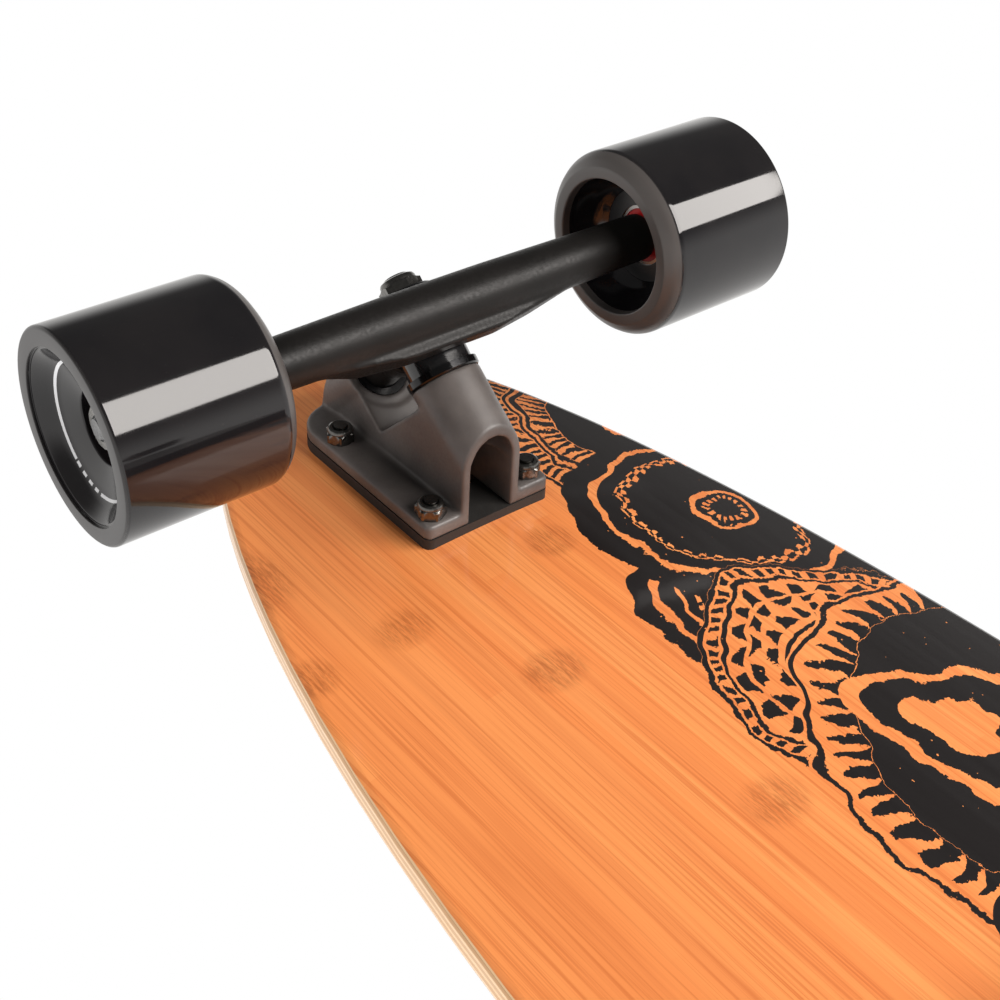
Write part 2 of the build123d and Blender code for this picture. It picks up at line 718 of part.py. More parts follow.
def make_motor_sleeve():
    inner, outer = wheel_inner_face, wheel_outer_face
    edge = wheel_radius - wheel_inner_bevel
    bevel_turn = wheel_inner_bevel * wheel_bevel_bulge
    section = make_face([
        Polyline((edge, inner), (motor_can_radius, inner), (motor_can_radius, outer),
                 (wheel_radius - wheel_outer_bevel, outer), (wheel_radius, outer - wheel_outer_bevel),
                 (wheel_radius, inner + wheel_inner_bevel)),
        ThreePointArc((wheel_radius, inner + wheel_inner_bevel),
                      (wheel_radius - bevel_turn, inner + bevel_turn), (edge, inner)),
    ])
    return revolve(section, axis=Axis.Y)


def make_motor_wheels():
    parts = {}
    place = Pos(-axle_x, 0, wheel_radius)
    bearings = bearing_shell(motor_bearing_start, motor_race_radius, motor_bearing_radius, motor_ball_count)
    bearings += bearing_shell(end_bearing_start, inner_race_radius, bearing_radius, ball_count)
    rotating = {
        "tyre": make_motor_sleeve(),
        "rotor": make_motor_rotor(),
        "magnets": make_magnets(),
        "motor_cover": make_motor_cover(),
        "bearings": group(bearings),
    }
    for side in ("left", "right"):
        for name, piece in rotating.items():
            shape = piece if side == "left" else mirror(piece, about=Plane.XZ)
            parts[f"rear_{side}_{name}"] = place * shape
    races = [
        inner_race(motor_bearing_start, motor_shaft_radius, motor_race_radius),
        inner_race(end_bearing_start, axle_radius, inner_race_radius),
    ]
    parts["rear_stators"] = place * both_sides(make_stator())
    parts["rear_windings"] = place * both_sides(make_windings())
    parts["rear_inner_races"] = place * both_sides(group(races))
    return parts


# ---------------------------------------------------------------- electrics under the deck
def enclosure_plan(grow):
    return RectangleRounded(enclosure_length + 2 * grow, enclosure_width + 2 * grow, enclosure_corner + grow)


def enclosure_prism(grow, floor):
    height = underside + 30 - floor
    return Pos(enclosure_mid, 0, floor) * extrude(enclosure_plan(grow), height)


def side_bore(radius, x, sign, depth):
    """Cutter through a side wall: sign is +1 for the left wall and -1 for the right."""
    height = enclosure_bottom + enclosure_depth / 2
    return Pos(x, 0, height) * cross_rod(radius, *sorted((sign * (enclosure_width / 2 - depth),
                                                         sign * (enclosure_width / 2 + 5))))


def gland_place(sign):
    return Pos(enclosure_rear, sign * gland_spacing / 2, enclosure_bottom + gland_height) * Rot(0, -90, 0)


def make_enclosure():
    seat = gasket_thickness + flange_thickness
    body = enclosure_prism(0, enclosure_bottom)
    body = fillet(body.edges().group_by(Axis.Z)[0], enclosure_bottom_round)
    body = body - trough(concave_radius + gasket_thickness)
    flange = enclosure_prism(flange_width, enclosure_bottom) & layer(gasket_thickness, seat)
    cavity = enclosure_prism(-enclosure_wall, enclosure_bottom + enclosure_wall)
    shell = body + flange - cavity
    holes = [on_trough(x, y, seat) * rod(cover_screw_radius + cover_screw_clearance, -10, 10) for x, y in cover_screw_places()]
    holes += [gland_place(s) * rod(gland_radius - gland_neck, -8, 8) for s in (1, -1)]
    holes.append(side_bore(port_radius, port_x, 1, 10))
    holes.append(side_bore(button_radius + button_clearance, port_x, -1, 10))
    shell = shell - holes

    gasket = (enclosure_prism(flange_width, underside - 20) - enclosure_prism(-enclosure_wall, underside - 21))
    gasket = gasket & layer(0, gasket_thickness)
    gasket = gasket - [on_trough(x, y, seat) * rod(cover_screw_radius + cover_screw_clearance, -10, 20) for x, y in cover_screw_places()]
    return {"enclosure_shell": shell, "enclosure_gasket": gasket}


def make_cover_screws():
    seat = gasket_thickness + flange_thickness
    radius, height = cover_screw_head
    head = fillet(rod(radius, -height, 0).edges().sort_by(Axis.Z)[0], 1.2)
    drive = Pos(0, 0, -height) * extrude(RegularPolygon(1.6, 6), 1.2)
    screw = head + rod(cover_screw_radius, 0, seat + cover_screw_grip) - drive
    return group([on_trough(x, y, seat) * screw for x, y in cover_screw_places()])


def make_battery():
    start = enclosure_front - enclosure_corner - cell_radius
    height = enclosure_bottom + enclosure_wall + 1.5 + cell_radius
    tip_radius, tip_height = cell_button
    cell_start = cell_gap + tip_height
    cells = []
    grooves = []
    for i in range(cell_rows):
        x = start - i * cell_pitch
        cell = cross_rod(cell_radius, cell_start, cell_start + cell_length)
        button = cross_rod(tip_radius, cell_gap, cell_start)
        cells.append(Pos(x, 0, height) * both_sides(cell + button))
        grooves.append(Pos(x, 0, height) * cross_rod(cell_radius + cell_gap, -80, 80))
    length = cell_rows * cell_pitch
    middle = start - (cell_rows - 1) * cell_pitch / 2
    floor = enclosure_bottom + enclosure_wall
    tray = Pos(middle, 0, floor) * Box(length, 2 * cell_length - 4, tray_depth,
                                       align=(Align.CENTER, Align.CENTER, Align.MIN))
    return {"battery_cells": group(cells), "battery_tray": tray - grooves}


def floor_box(x, y, lift, size):
    return Pos(x, y, enclosure_bottom + enclosure_wall + lift) * Box(
        *size, align=(Align.CENTER, Align.CENTER, Align.MIN))


def make_boards():
    """Battery management board on its standoffs, and the motor controller in its finned case."""
    along, across, thickness = board_size
    foot, lift = board_standoff
    top = lift + thickness
    feet = [(sx * (along / 2 - 5), sy * (across / 2 - 5)) for sx in (1, -1) for sy in (1, -1)]
    chip_pitch = board_chip[1] + 2
    first = -chip_pitch * (board_chip_count - 1) / 2
    board = [floor_box(port_x, 0, lift, board_size)]
    board += [floor_box(port_x + x, y, 0, (foot, foot, lift)) for x, y in feet]
    board += [floor_box(port_x - 14, first + chip_pitch * i, top, board_chip) for i in range(board_chip_count)]
    board.append(floor_box(port_x + 12, 0, top, board_heatsink))
    case_x = enclosure_rear + enclosure_wall + controller_middle
    case = floor_box(case_x, 0, 0, controller_size)
    fin_floor = controller_size[2] - fin_depth
    for i in range(-4, 5):
        case = case - floor_box(case_x, fin_pitch * i, fin_floor, (controller_size[0] + 8, fin_gap, fin_depth + 3))
    return {"battery_management_board": group([board[0] + board[1:]]), "motor_controller": case}


def make_charge_port():
    wall = enclosure_width / 2
    height = enclosure_bottom + enclosure_depth / 2
    radius, proud = port_flange
    body = cross_rod(port_radius, wall - port_length, wall) + cross_rod(radius, wall, wall + proud)
    body = body - cross_rod(port_bore, wall + proud - port_depth, wall + proud + 1)
    return Pos(port_x, 0, height) * body


def make_power_button():
    wall = -enclosure_width / 2
    height = enclosure_bottom + enclosure_depth / 2
    place = Pos(port_x, 0, height)
    plunger = cross_rod(button_radius, wall - button_proud, wall - button_proud + button_length)
    plunger = fillet(plunger.edges().filter_by(GeomType.CIRCLE).sort_by(Axis.Y)[0], 0.8)
    bezel = cross_rod(bezel_radius, wall - bezel_proud, wall)
    bezel = bezel - cross_rod(button_radius + button_clearance, wall - 5, wall + 5)
    return {"power_button": place * plunger, "button_bezel": place * bezel}


def make_glands():
    nut_end = gland_length - gland_cap
    gland = hexagon(2 * gland_radius, 0, nut_end) + rod(gland_radius - gland_neck + 0.6, nut_end, gland_length)
    gland = gland + rod(gland_radius - gland_neck, -enclosure_wall, 0) - rod(gland_bore, -20, gland_length)
    return group([gland_place(s) * gland for s in (1, -1)])


# ---------------------------------------------------------------- assembly
def make_all():
    parts = {}
    parts.update(make_deck())
    parts.update(make_mounting_hardware())
    parts["riser_pads"] = group([make_riser(FRONT), make_riser(REAR)])
    baseplate = make_baseplate()
    cup = make_pivot_cup()
    sets = make_kingpin_set()
    for name, piece in sets.items():
        parts[name] = group([FRONT * piece, REAR * piece])
    board_bushing = make_board_bushing()
    road_bushing = make_road_bushing()
    for end, place in (("front", FRONT), ("rear", REAR)):
        parts[f"{end}_baseplate"] = place * baseplate
        parts[f"{end}_pivot_cup"] = place * cup
        parts[f"{end}_board_bushing"] = place * board_bushing
        parts[f"{end}_road_bushing"] = place * road_bushing
    parts["front_hanger"] = FRONT * make_hanger(hanger_width)
    parts["rear_hanger"] = REAR * make_hanger(motor_hanger_width)
    front_nut_start = bearing_starts[1] + bearing_width + speed_ring_thickness
    rear_nut_start = end_bearing_start + bearing_width
    for end, place, start in (("front", FRONT, front_nut_start), ("rear", REAR, rear_nut_start)):
        parts[f"{end}_axle"] = place * make_axle(start + axle_nut_height + axle_tail)
        parts[f"{end}_axle_nuts"] = place * make_axle_nuts(start)
    parts.update(make_front_wheels())
    parts.update(make_motor_wheels())
    parts.update(make_enclosure())
    parts["enclosure_screws"] = make_cover_screws()
    parts.update(make_battery())
    parts.update(make_boards())
    parts["charge_port"] = make_charge_port()
    parts.update(make_power_button())
    parts["cable_glands"] = make_glands()
    return parts


if __name__ == "__main__":
    os.makedirs("parts", exist_ok=True)
    for name, shape in make_all().items():
        export_step(shape, f"parts/{name}.step")
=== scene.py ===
import json
import math
import bmesh
import bpy
import numpy as np
from mathutils import Matrix, Vector


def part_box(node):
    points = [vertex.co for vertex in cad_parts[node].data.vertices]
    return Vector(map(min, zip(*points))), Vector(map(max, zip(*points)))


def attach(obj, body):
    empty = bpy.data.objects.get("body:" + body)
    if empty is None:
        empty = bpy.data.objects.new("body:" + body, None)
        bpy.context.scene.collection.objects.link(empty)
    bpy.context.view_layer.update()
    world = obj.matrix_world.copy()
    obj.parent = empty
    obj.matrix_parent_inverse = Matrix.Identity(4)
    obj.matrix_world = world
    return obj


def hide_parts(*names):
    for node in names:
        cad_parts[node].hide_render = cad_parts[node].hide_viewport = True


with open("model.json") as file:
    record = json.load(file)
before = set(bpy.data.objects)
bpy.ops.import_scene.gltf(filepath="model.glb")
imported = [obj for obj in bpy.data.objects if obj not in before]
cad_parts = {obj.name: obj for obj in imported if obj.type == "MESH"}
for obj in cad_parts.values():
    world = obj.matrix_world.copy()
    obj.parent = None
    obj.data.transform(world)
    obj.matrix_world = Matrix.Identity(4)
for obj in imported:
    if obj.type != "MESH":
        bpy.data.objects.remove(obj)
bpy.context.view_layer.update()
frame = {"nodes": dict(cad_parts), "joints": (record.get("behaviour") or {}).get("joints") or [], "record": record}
print("frame loaded:", len(frame["nodes"]), "nodes")

# places read from the frame
joints = {j["name"]: j for j in frame["joints"]}
frontAxle = np.array(joints["front_left_spin"]["pos_m"])
rearAxle = np.array(joints["rear_left_spin"]["pos_m"])
underside = float(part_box("bottom_veneer")[0][2])
treadLow, treadHigh = [np.array(v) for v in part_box("front_left_tyre")]
wheelRadius = float(frontAxle[2])

# camera and light
camera = {"lens": 55.07, "sensor": 36.0, "place": (0.0283, -0.2672, -0.2191),
          "right": (-0.6243, 0.7801, -0.0413), "up": (0.4909, 0.3506, -0.7975)}
right = Vector(camera["right"]).normalized()
back = right.cross(Vector(camera["up"])).normalized()
camData = bpy.data.cameras.new("benchCamera")
camData.lens = camera["lens"]
camData.sensor_width = camera["sensor"]
camData.clip_start = 0.01
camObject = bpy.data.objects.new("benchCamera", camData)
bpy.context.scene.collection.objects.link(camObject)
turn = Matrix((right, back.cross(right).normalized(), back)).transposed().to_4x4()
turn.translation = Vector(camera["place"])
camObject.matrix_world = turn
bpy.context.scene.camera = camObject


def areaLight(name, place, target, size, power, colour=(1.0, 1.0, 1.0), glossy=True):
    data = bpy.data.lights.new(name, "AREA")
    data.shape = "RECTANGLE"
    data.size, data.size_y = size
    data.energy = power
    data.color = colour
    lamp = bpy.data.objects.new(name, data)
    bpy.context.scene.collection.objects.link(lamp)
    lamp.location = place
    lamp.rotation_mode = "QUATERNION"
    lamp.rotation_quaternion = (Vector(place) - Vector(target)).to_track_quat("Z", "Y")
    lamp.visible_camera = False
    lamp.visible_glossy = glossy
    return lamp


# the strip lies along the axles, so that it draws one straight band on every tread
lightSetup = {"strip": 56.0, "side": 12.0, "above": 34.0, "behind": 20.0, "sky": 1.0, "ground": 0.13}
areaLight("stripBelow", (-0.78, 1.0, -0.95), (0.35, 1.0, 0.03), (1.75, 0.86), lightSetup["strip"],
          (1.0, 0.955, 0.915))
areaLight("sideBox", (0.5, -1.4, -0.9), (0.3, 0.0, 0.1), (1.0, 0.8), lightSetup["side"], (1.0, 0.98, 0.96), False)
areaLight("topBox", (0.3, -0.6, 1.5), (0.0, 0.0, 0.1), (1.6, 1.2), lightSetup["above"], (1, 1, 1), False)
areaLight("backBox", (-0.7, 1.2, 1.2), (0.0, 0.0, 0.1), (1.2, 1.2), lightSetup["behind"], (1, 1, 1), False)

# the room is bright above the bench and dim below it, and plain white to look at
world = bpy.data.worlds.new("studio")
bpy.context.scene.world = world
world.use_nodes = True
room = world.node_tree
room.nodes.clear()
roomOut = room.nodes.new("ShaderNodeOutputWorld")
roomMix = room.nodes.new("ShaderNodeMixShader")
rays = room.nodes.new("ShaderNodeLightPath")
where = room.nodes.new("ShaderNodeTexCoord")
split = room.nodes.new("ShaderNodeSeparateXYZ")
lift = room.nodes.new("ShaderNodeMapRange")
lift.interpolation_type = "SMOOTHSTEP"
lift.inputs["From Min"].default_value = -0.38
lift.inputs["From Max"].default_value = 0.04
lift.inputs["To Min"].default_value = lightSetup["ground"]
lift.inputs["To Max"].default_value = lightSetup["sky"]
roomSoft = room.nodes.new("ShaderNodeBackground")
roomSoft.inputs["Color"].default_value = (1.0, 0.985, 0.965, 1)
roomWhite = room.nodes.new("ShaderNodeBackground")
roomWhite.inputs["Color"].default_value = (1, 1, 1, 1)
room.links.new(where.outputs["Generated"], split.inputs["Vector"])
room.links.new(split.outputs["Z"], lift.inputs["Value"])
room.links.new(lift.outputs["Result"], roomSoft.inputs["Strength"])
room.links.new(rays.outputs["Is Camera Ray"], roomMix.inputs["Fac"])
room.links.new(roomSoft.outputs["Background"], roomMix.inputs[1])
room.links.new(roomWhite.outputs["Background"], roomMix.inputs[2])
room.links.new(roomMix.outputs["Shader"], roomOut.inputs["Surface"])
bpy.context.scene.view_settings.view_transform = "Standard"
print("camera and light ready")


# materials
def newMaterial(name):
    made = bpy.data.materials.new(name)
    made.use_nodes = True
    tree = made.node_tree
    return made, tree, tree.nodes["Principled BSDF"]


def plug(tree, socket, value):
    if isinstance(value, bpy.types.NodeSocket):
        tree.links.new(value, socket)
    else:
        socket.default_value = value


def calc(tree, kind, a, b=0.0, c=0.0, clamp=False):
    step = tree.nodes.new("ShaderNodeMath")
    step.operation = kind
    step.use_clamp = clamp
    for socket, value in zip(step.inputs, (a, b, c)):
        plug(tree, socket, value)
    return step.outputs[0]


def times(tree, a, b):
    return calc(tree, "MULTIPLY", a, b)


def plus(tree, a, b):
    return calc(tree, "ADD", a, b)


def minus(tree, a, b):
    return calc(tree, "SUBTRACT", a, b)


def radiusOf(tree, a, b):
    return calc(tree, "SQRT", plus(tree, times(tree, a, a), times(tree, b, b)))


def blendColour(tree, share, a, b, kind="MIX"):
    step = tree.nodes.new("ShaderNodeMix")
    step.data_type = "RGBA"
    step.blend_type = kind
    for name, value in (("Factor_Float", share), ("A_Color", a), ("B_Color", b)):
        socket = next(s for s in step.inputs if s.identifier == name)
        plug(tree, socket, value)
    return next(s for s in step.outputs if s.identifier == "Result_Color")


def spread(tree, value, low, high, toLow=0.0, toHigh=1.0, smooth=True):
    step = tree.nodes.new("ShaderNodeMapRange")
    step.interpolation_type = "SMOOTHSTEP" if smooth else "LINEAR"
    for socket, number in zip(step.inputs[:5], (value, low, high, toLow, toHigh)):
        plug(tree, socket, number)
    return step.outputs["Result"]


def placeOf(tree, centre=(0, 0, 0), stretch=(1, 1, 1)):
    coords = tree.nodes.new("ShaderNodeTexCoord")
    mapping = tree.nodes.new("ShaderNodeMapping")
    mapping.inputs["Location"].default_value = [-c * s for c, s in zip(centre, stretch)]
    mapping.inputs["Scale"].default_value = stretch
    tree.links.new(coords.outputs["Object"], mapping.inputs["Vector"])
    return mapping.outputs["Vector"]


def parts3(tree, vector):
    step = tree.nodes.new("ShaderNodeSeparateXYZ")
    tree.links.new(vector, step.inputs["Vector"])
    return step.outputs["X"], step.outputs["Y"], step.outputs["Z"]


def joined(tree, x, y, z):
    step = tree.nodes.new("ShaderNodeCombineXYZ")
    for socket, value in zip(step.inputs, (x, y, z)):
        plug(tree, socket, value)
    return step.outputs["Vector"]


def noiseOf(tree, vector, scale, detail=3.0, rough=0.55):
    step = tree.nodes.new("ShaderNodeTexNoise")
    plug(tree, step.inputs["Vector"], vector)
    step.inputs["Scale"].default_value = scale
    step.inputs["Detail"].default_value = detail
    step.inputs["Roughness"].default_value = rough
    return step.outputs["Fac"]


def bumpOf(tree, height, strength, distance, under=None):
    step = tree.nodes.new("ShaderNodeBump")
    step.inputs["Strength"].default_value = strength
    step.inputs["Distance"].default_value = distance
    plug(tree, step.inputs["Height"], height)
    if under is not None:
        tree.links.new(under, step.inputs["Normal"])
    return step.outputs["Normal"]


def rgb(red, green, blue):
    # from the usual 0 to 255 colour numbers to linear light
    levels = [v / 255 for v in (red, green, blue)]
    return tuple(((v + 0.055) / 1.055) ** 2.4 if v > 10 / 255 else v / 12.92 for v in levels) + (1.0,)


# base and second colour, roughness and its spread, metal, grain size per metre, bump depth, coat
finishes = {
    "blackSteel": ((38, 38, 39), (26, 26, 28), 0.18, 0.08, 0.85, 700, 0.00002, 0.3),
    "nutSteel": ((128, 126, 122), (84, 83, 81), 0.24, 0.12, 1.0, 900, 0.00003, 0.2),
    "platedSteel": ((186, 184, 180), (150, 148, 145), 0.24, 0.12, 1.0, 800, 0.00002, 0.0),
    "axleSteel": ((150, 150, 150), (112, 112, 114), 0.28, 0.12, 1.0, 900, 0.00002, 0.0),
    "bushingUrethane": ((17, 17, 18), (25, 24, 25), 0.16, 0.08, 0.0, 260, 0.00003, 0.3),
    "cupUrethane": ((15, 15, 16), (22, 21, 22), 0.2, 0.08, 0.0, 260, 0.00003, 0.2),
    "rubberPad": ((30, 29, 28), (42, 40, 38), 0.62, 0.12, 0.0, 1400, 0.00008, 0.0),
    "corePlastic": ((22, 22, 23), (31, 31, 32), 0.34, 0.10, 0.0, 900, 0.00003, 0.0),
    "motorHousing": ((43, 44, 47), (58, 59, 62), 0.36, 0.10, 0.6, 1100, 0.00003, 0.0),
    "magnetNickel": ((176, 172, 165), (140, 137, 130), 0.3, 0.12, 1.0, 600, 0.00002, 0.0),
    "statorSteel": ((112, 112, 116), (84, 84, 88), 0.42, 0.10, 0.9, 1500, 0.00004, 0.0),
    "copperWire": ((176, 96, 52), (130, 66, 34), 0.34, 0.12, 1.0, 1800, 0.00008, 0.0),
    "caseShell": ((28, 28, 29), (38, 38, 39), 0.5, 0.10, 0.0, 1800, 0.00007, 0.0),
    "gasketFoam": ((24, 24, 24), (40, 40, 40), 0.85, 0.08, 0.0, 2600, 0.00012, 0.0),
    "trayPlastic": ((64, 66, 70), (50, 52, 56), 0.48, 0.10, 0.0, 1200, 0.00005, 0.0),
    "heatsinkAlloy": ((156, 158, 160), (124, 126, 130), 0.36, 0.12, 1.0, 1500, 0.00004, 0.0),
    "socketPlastic": ((20, 20, 21), (30, 30, 31), 0.3, 0.08, 0.0, 900, 0.00003, 0.0),
    "buttonMetal": ((196, 196, 196), (165, 165, 166), 0.26, 0.10, 1.0, 1500, 0.00003, 0.0),
    "glandPlastic": ((26, 26, 27), (36, 36, 37), 0.42, 0.10, 0.0, 1200, 0.00004, 0.0),
}


def plainFinish(name):
    base, second, rough, roughSpread, metal, grain, depth, coat = finishes[name]
    finish, tree, bsdf = newMaterial(name)
    place = placeOf(tree)
    broad = noiseOf(tree, place, grain * 0.045, 4.0)
    fine = noiseOf(tree, place, grain, 2.0, 0.6)
    tone = spread(tree, plus(tree, times(tree, broad, 0.7), times(tree, fine, 0.3)), 0.3, 0.7)
    plug(tree, bsdf.inputs["Base Color"], blendColour(tree, tone, rgb(*base), rgb(*second)))
    low, high = rough - roughSpread / 2, rough + roughSpread / 2
    plug(tree, bsdf.inputs["Roughness"], spread(tree, broad, 0.3, 0.7, low, high))
    plug(tree, bsdf.inputs["Normal"], bumpOf(tree, fine, 0.6, depth))
    bsdf.inputs["Metallic"].default_value = metal
    bsdf.inputs["Coat Weight"].default_value = coat
    bsdf.inputs["Coat Roughness"].default_value = 0.05
    return finish


made = {name: plainFinish(name) for name in finishes}


def castFinish(name, pale, dark, corner, shine):
    # powder coat: fine orange peel, softer mottling, and a painted edge highlight: a paler colour where the surface
    # turns a corner
    finish, tree, bsdf = newMaterial(name)
    place = placeOf(tree)
    broad = noiseOf(tree, place, 38, 4.0)
    peel = noiseOf(tree, place, 950, 2.0, 0.5)
    shape = tree.nodes.new("ShaderNodeNewGeometry")
    # painted highlight: convex corners, found by pointiness, blend towards the paler corner colour
    paintedEdgeHighlight = times(tree, spread(tree, shape.outputs["Pointiness"], 0.53, 0.62), 0.7)
    colour = blendColour(tree, spread(tree, broad, 0.3, 0.7), rgb(*pale), rgb(*dark))
    colour = blendColour(tree, paintedEdgeHighlight, colour, rgb(*corner))
    plug(tree, bsdf.inputs["Base Color"], colour)
    plug(tree, bsdf.inputs["Roughness"], spread(tree, peel, 0.25, 0.75, 0.34, 0.5))
    plug(tree, bsdf.inputs["Normal"], bumpOf(tree, peel, 0.35, 0.00006))
    bsdf.inputs["Specular IOR Level"].default_value = shine
    return finish


# one cast metal in two copies: the hanger's is darker as painted shade, the plates' paler as painted light; each
# fourth colour is a painted edge highlight
made["hangerAlloyPaintedShade"] = castFinish("hangerAlloyPaintedShade", (27, 25, 24), (20, 19, 18), (50, 46, 44), 0.2)
made["castAlloy"] = castFinish("castAlloy", (100, 94, 91), (75, 70, 68), (134, 127, 122), 0.5)


# wheel tread: deep black urethane with faint turning lines, dust, and a printed ring on the outer dish
treadLook = {"ringRadius": 0.0213, "ringWidth": 0.00042, "gapMiddle": 1.3, "gapHalf": 0.38, "ticks": 36.0}


def treadFinish(name, axle, printed, faces):
    finish, tree, bsdf = newMaterial(name)
    place = placeOf(tree, (axle[0], 0, axle[2]))
    x, y, z = parts3(tree, place)
    radius = radiusOf(tree, x, z)
    angle = calc(tree, "ARCTAN2", z, x)
    broad = noiseOf(tree, place, 26, 4.0)
    dust = noiseOf(tree, place, 1500, 2.0, 0.7)
    turning = noiseOf(tree, joined(tree, times(tree, radius, 900.0), times(tree, y, 260.0), 0.0), 1.0, 2.0)
    colour = blendColour(tree, spread(tree, broad, 0.3, 0.7), rgb(19, 18, 20), rgb(27, 25, 26))
    colour = blendColour(tree, times(tree, spread(tree, dust, 0.72, 0.8), 0.35), colour, rgb(92, 88, 84))
    if printed:
        outer = calc(tree, "GREATER_THAN", calc(tree, "ABSOLUTE", y), 0.118)
        ring = calc(tree, "COMPARE", radius, treadLook["ringRadius"], treadLook["ringWidth"])
        inGap = calc(tree, "COMPARE", angle, treadLook["gapMiddle"], treadLook["gapHalf"])
        beat = calc(tree, "GREATER_THAN", calc(tree, "SINE", times(tree, angle, treadLook["ticks"])), 0.2)
        broken = minus(tree, 1.0, times(tree, inGap, beat))
        ink = times(tree, times(tree, ring, broken), outer)
        colour = blendColour(tree, ink, colour, rgb(206, 206, 208))
    # the flat faces at both ends are left as cast: paler and satin
    reach = calc(tree, "ABSOLUTE", y)
    inner = spread(tree, reach, faces[0] + 0.0048, faces[0] + 0.0040)
    outside = times(tree, spread(tree, reach, faces[1] - 0.0009, faces[1] - 0.0003),
                    calc(tree, "GREATER_THAN", radius, 0.0270))
    satin = times(tree, calc(tree, "MAXIMUM", inner, outside), calc(tree, "GREATER_THAN", radius, 0.0241))
    pale = calc(tree, "MULTIPLY_ADD", inner, 0.7, 0.15)
    colour = blendColour(tree, times(tree, satin, pale), colour, rgb(80, 76, 74))
    plug(tree, bsdf.inputs["Base Color"], colour)
    hollow = spread(tree, radius, 0.0275, 0.0268, 0.0, 0.06)
    gloss = plus(tree, spread(tree, broad, 0.3, 0.7, 0.05, 0.085), hollow)
    plug(tree, bsdf.inputs["Roughness"], plus(tree, gloss, times(tree, satin, 0.27)))
    plug(tree, bsdf.inputs["Normal"], bumpOf(tree, turning, 0.06, 0.00003))
    bsdf.inputs["IOR"].default_value = 1.52
    return finish


made["frontTread"] = treadFinish("frontTread", frontAxle, True, (float(treadLow[1]), float(treadHigh[1])))
rearFaces = [float(v[1]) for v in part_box("rear_left_tyre")]
made["rearTread"] = treadFinish("rearTread", rearAxle, False, rearFaces)


def bearingFinish(name, axle, lip, rim):
    # polished races with a red rubber shield between them
    finish, tree, bsdf = newMaterial(name)
    place = placeOf(tree, (axle[0], 0, axle[2]))
    x, y, z = parts3(tree, place)
    radius = radiusOf(tree, x, z)
    shield = calc(tree, "COMPARE", radius, (lip + rim) / 2, (rim - lip) / 2)
    brushed = noiseOf(tree, joined(tree, times(tree, radius, 4000.0), y, 0.0), 1.0, 2.0)
    steel = blendColour(tree, brushed, rgb(172, 170, 168), rgb(128, 127, 126))
    rubber = blendColour(tree, noiseOf(tree, place, 700), rgb(186, 26, 28), rgb(140, 14, 18))
    plug(tree, bsdf.inputs["Base Color"], blendColour(tree, shield, steel, rubber))
    plug(tree, bsdf.inputs["Metallic"], minus(tree, 1.0, shield))
    plug(tree, bsdf.inputs["Roughness"], spread(tree, shield, 0.0, 1.0, 0.2, 0.42))
    plug(tree, bsdf.inputs["Normal"], bumpOf(tree, brushed, 0.2, 0.00003))
    return finish


made["frontBearing"] = bearingFinish("frontBearing", frontAxle, 0.0061, 0.0098)
made["rearBearing"] = bearingFinish("rearBearing", rearAxle, 0.0061, 0.0098)


# bamboo face: lengthwise strips, each with its own tone, fine fibres, darker joints, and a black print
deckLook = {"strip": 0.0066, "length": 0.42, "fibre": 900.0,
            "pale": (248, 160, 92), "mid": (240, 145, 80), "deep": (206, 108, 52), "joint": (150, 76, 34),
            "joints": [(0.322, -0.054, 0.009, 0.010), (0.278, -0.028, 0.008, 0.010), (0.327, 0.011, 0.008, 0.009),
                       (0.323, -0.087, 0.008, 0.007), (0.200, -0.012, 0.009, 0.010), (0.372, -0.078, 0.016, 0.011),
                       (0.120, -0.070, 0.009, 0.010), (0.150, 0.075, 0.008, 0.010), (-0.310, 0.050, 0.009, 0.010),
                       (-0.350, -0.060, 0.008, 0.010), (-0.420, 0.010, 0.009, 0.011), (0.440, 0.012, 0.008, 0.009)]}
# each motif: centre x and y, reach, 1 for black or 0 for wood inside it, then bands that turn the tone over, as
# (middle radius, half width, teeth round the circle or 0, how far the teeth taper)
printLook = {"strip": 0.088, "motifs": [
    (0.372, 0.092, 0.060, 0, [(0.0590, 0.0010, 0, 0), (0.0535, 0.0036, 84, 0.0), (0.0484, 0.0008, 0, 0),
                              (0.0452, 0.0010, 0, 0), (0.0392, 0.0048, 66, 0.9), (0.0240, 0.0100, 0, 0),
                              (0.0060, 0.0040, 0, 0)]),
    (0.268, 0.048, 0.040, 1, [(0.0330, 0.0014, 0, 0), (0.0250, 0.0009, 0, 0), (0.0185, 0.0012, 30, 0.0)]),
    (0.312, 0.075, 0.053, 1, [(0.0425, 0.0013, 0, 0), (0.0325, 0.0020, 34, -0.5), (0.0330, 0.0007, 0, 0),
                              (0.0120, 0.0010, 0, 0), (0.0075, 0.0012, 16, 0.0)]),
    (0.226, 0.054, 0.053, 0, [(0.0520, 0.0009, 0, 0), (0.0485, 0.0017, 62, 0.0), (0.0450, 0.0009, 0, 0),
                              (0.0395, 0.0028, 24, 0.9), (0.0330, 0.0018, 20, -0.8), (0.0270, 0.0024, 18, 0.9),
                              (0.0205, 0.0010, 0, 0), (0.0155, 0.0026, 14, 0.9), (0.0090, 0.0020, 0, 0)]),
    (0.163, 0.086, 0.089, 0, [(0.0870, 0.0010, 0, 0), (0.0770, 0.0060, 62, 1.3), (0.0355, 0.0357, 0, 0)]),
    (0.112, 0.028, 0.034, 1, [(0.0255, 0.0010, 0, 0), (0.0190, 0.0016, 22, 0.0), (0.0120, 0.0020, 0, 0)])],
    "loop": (0.190, 0.058, 0.0250, 0.26, 3.0, 1.9)}


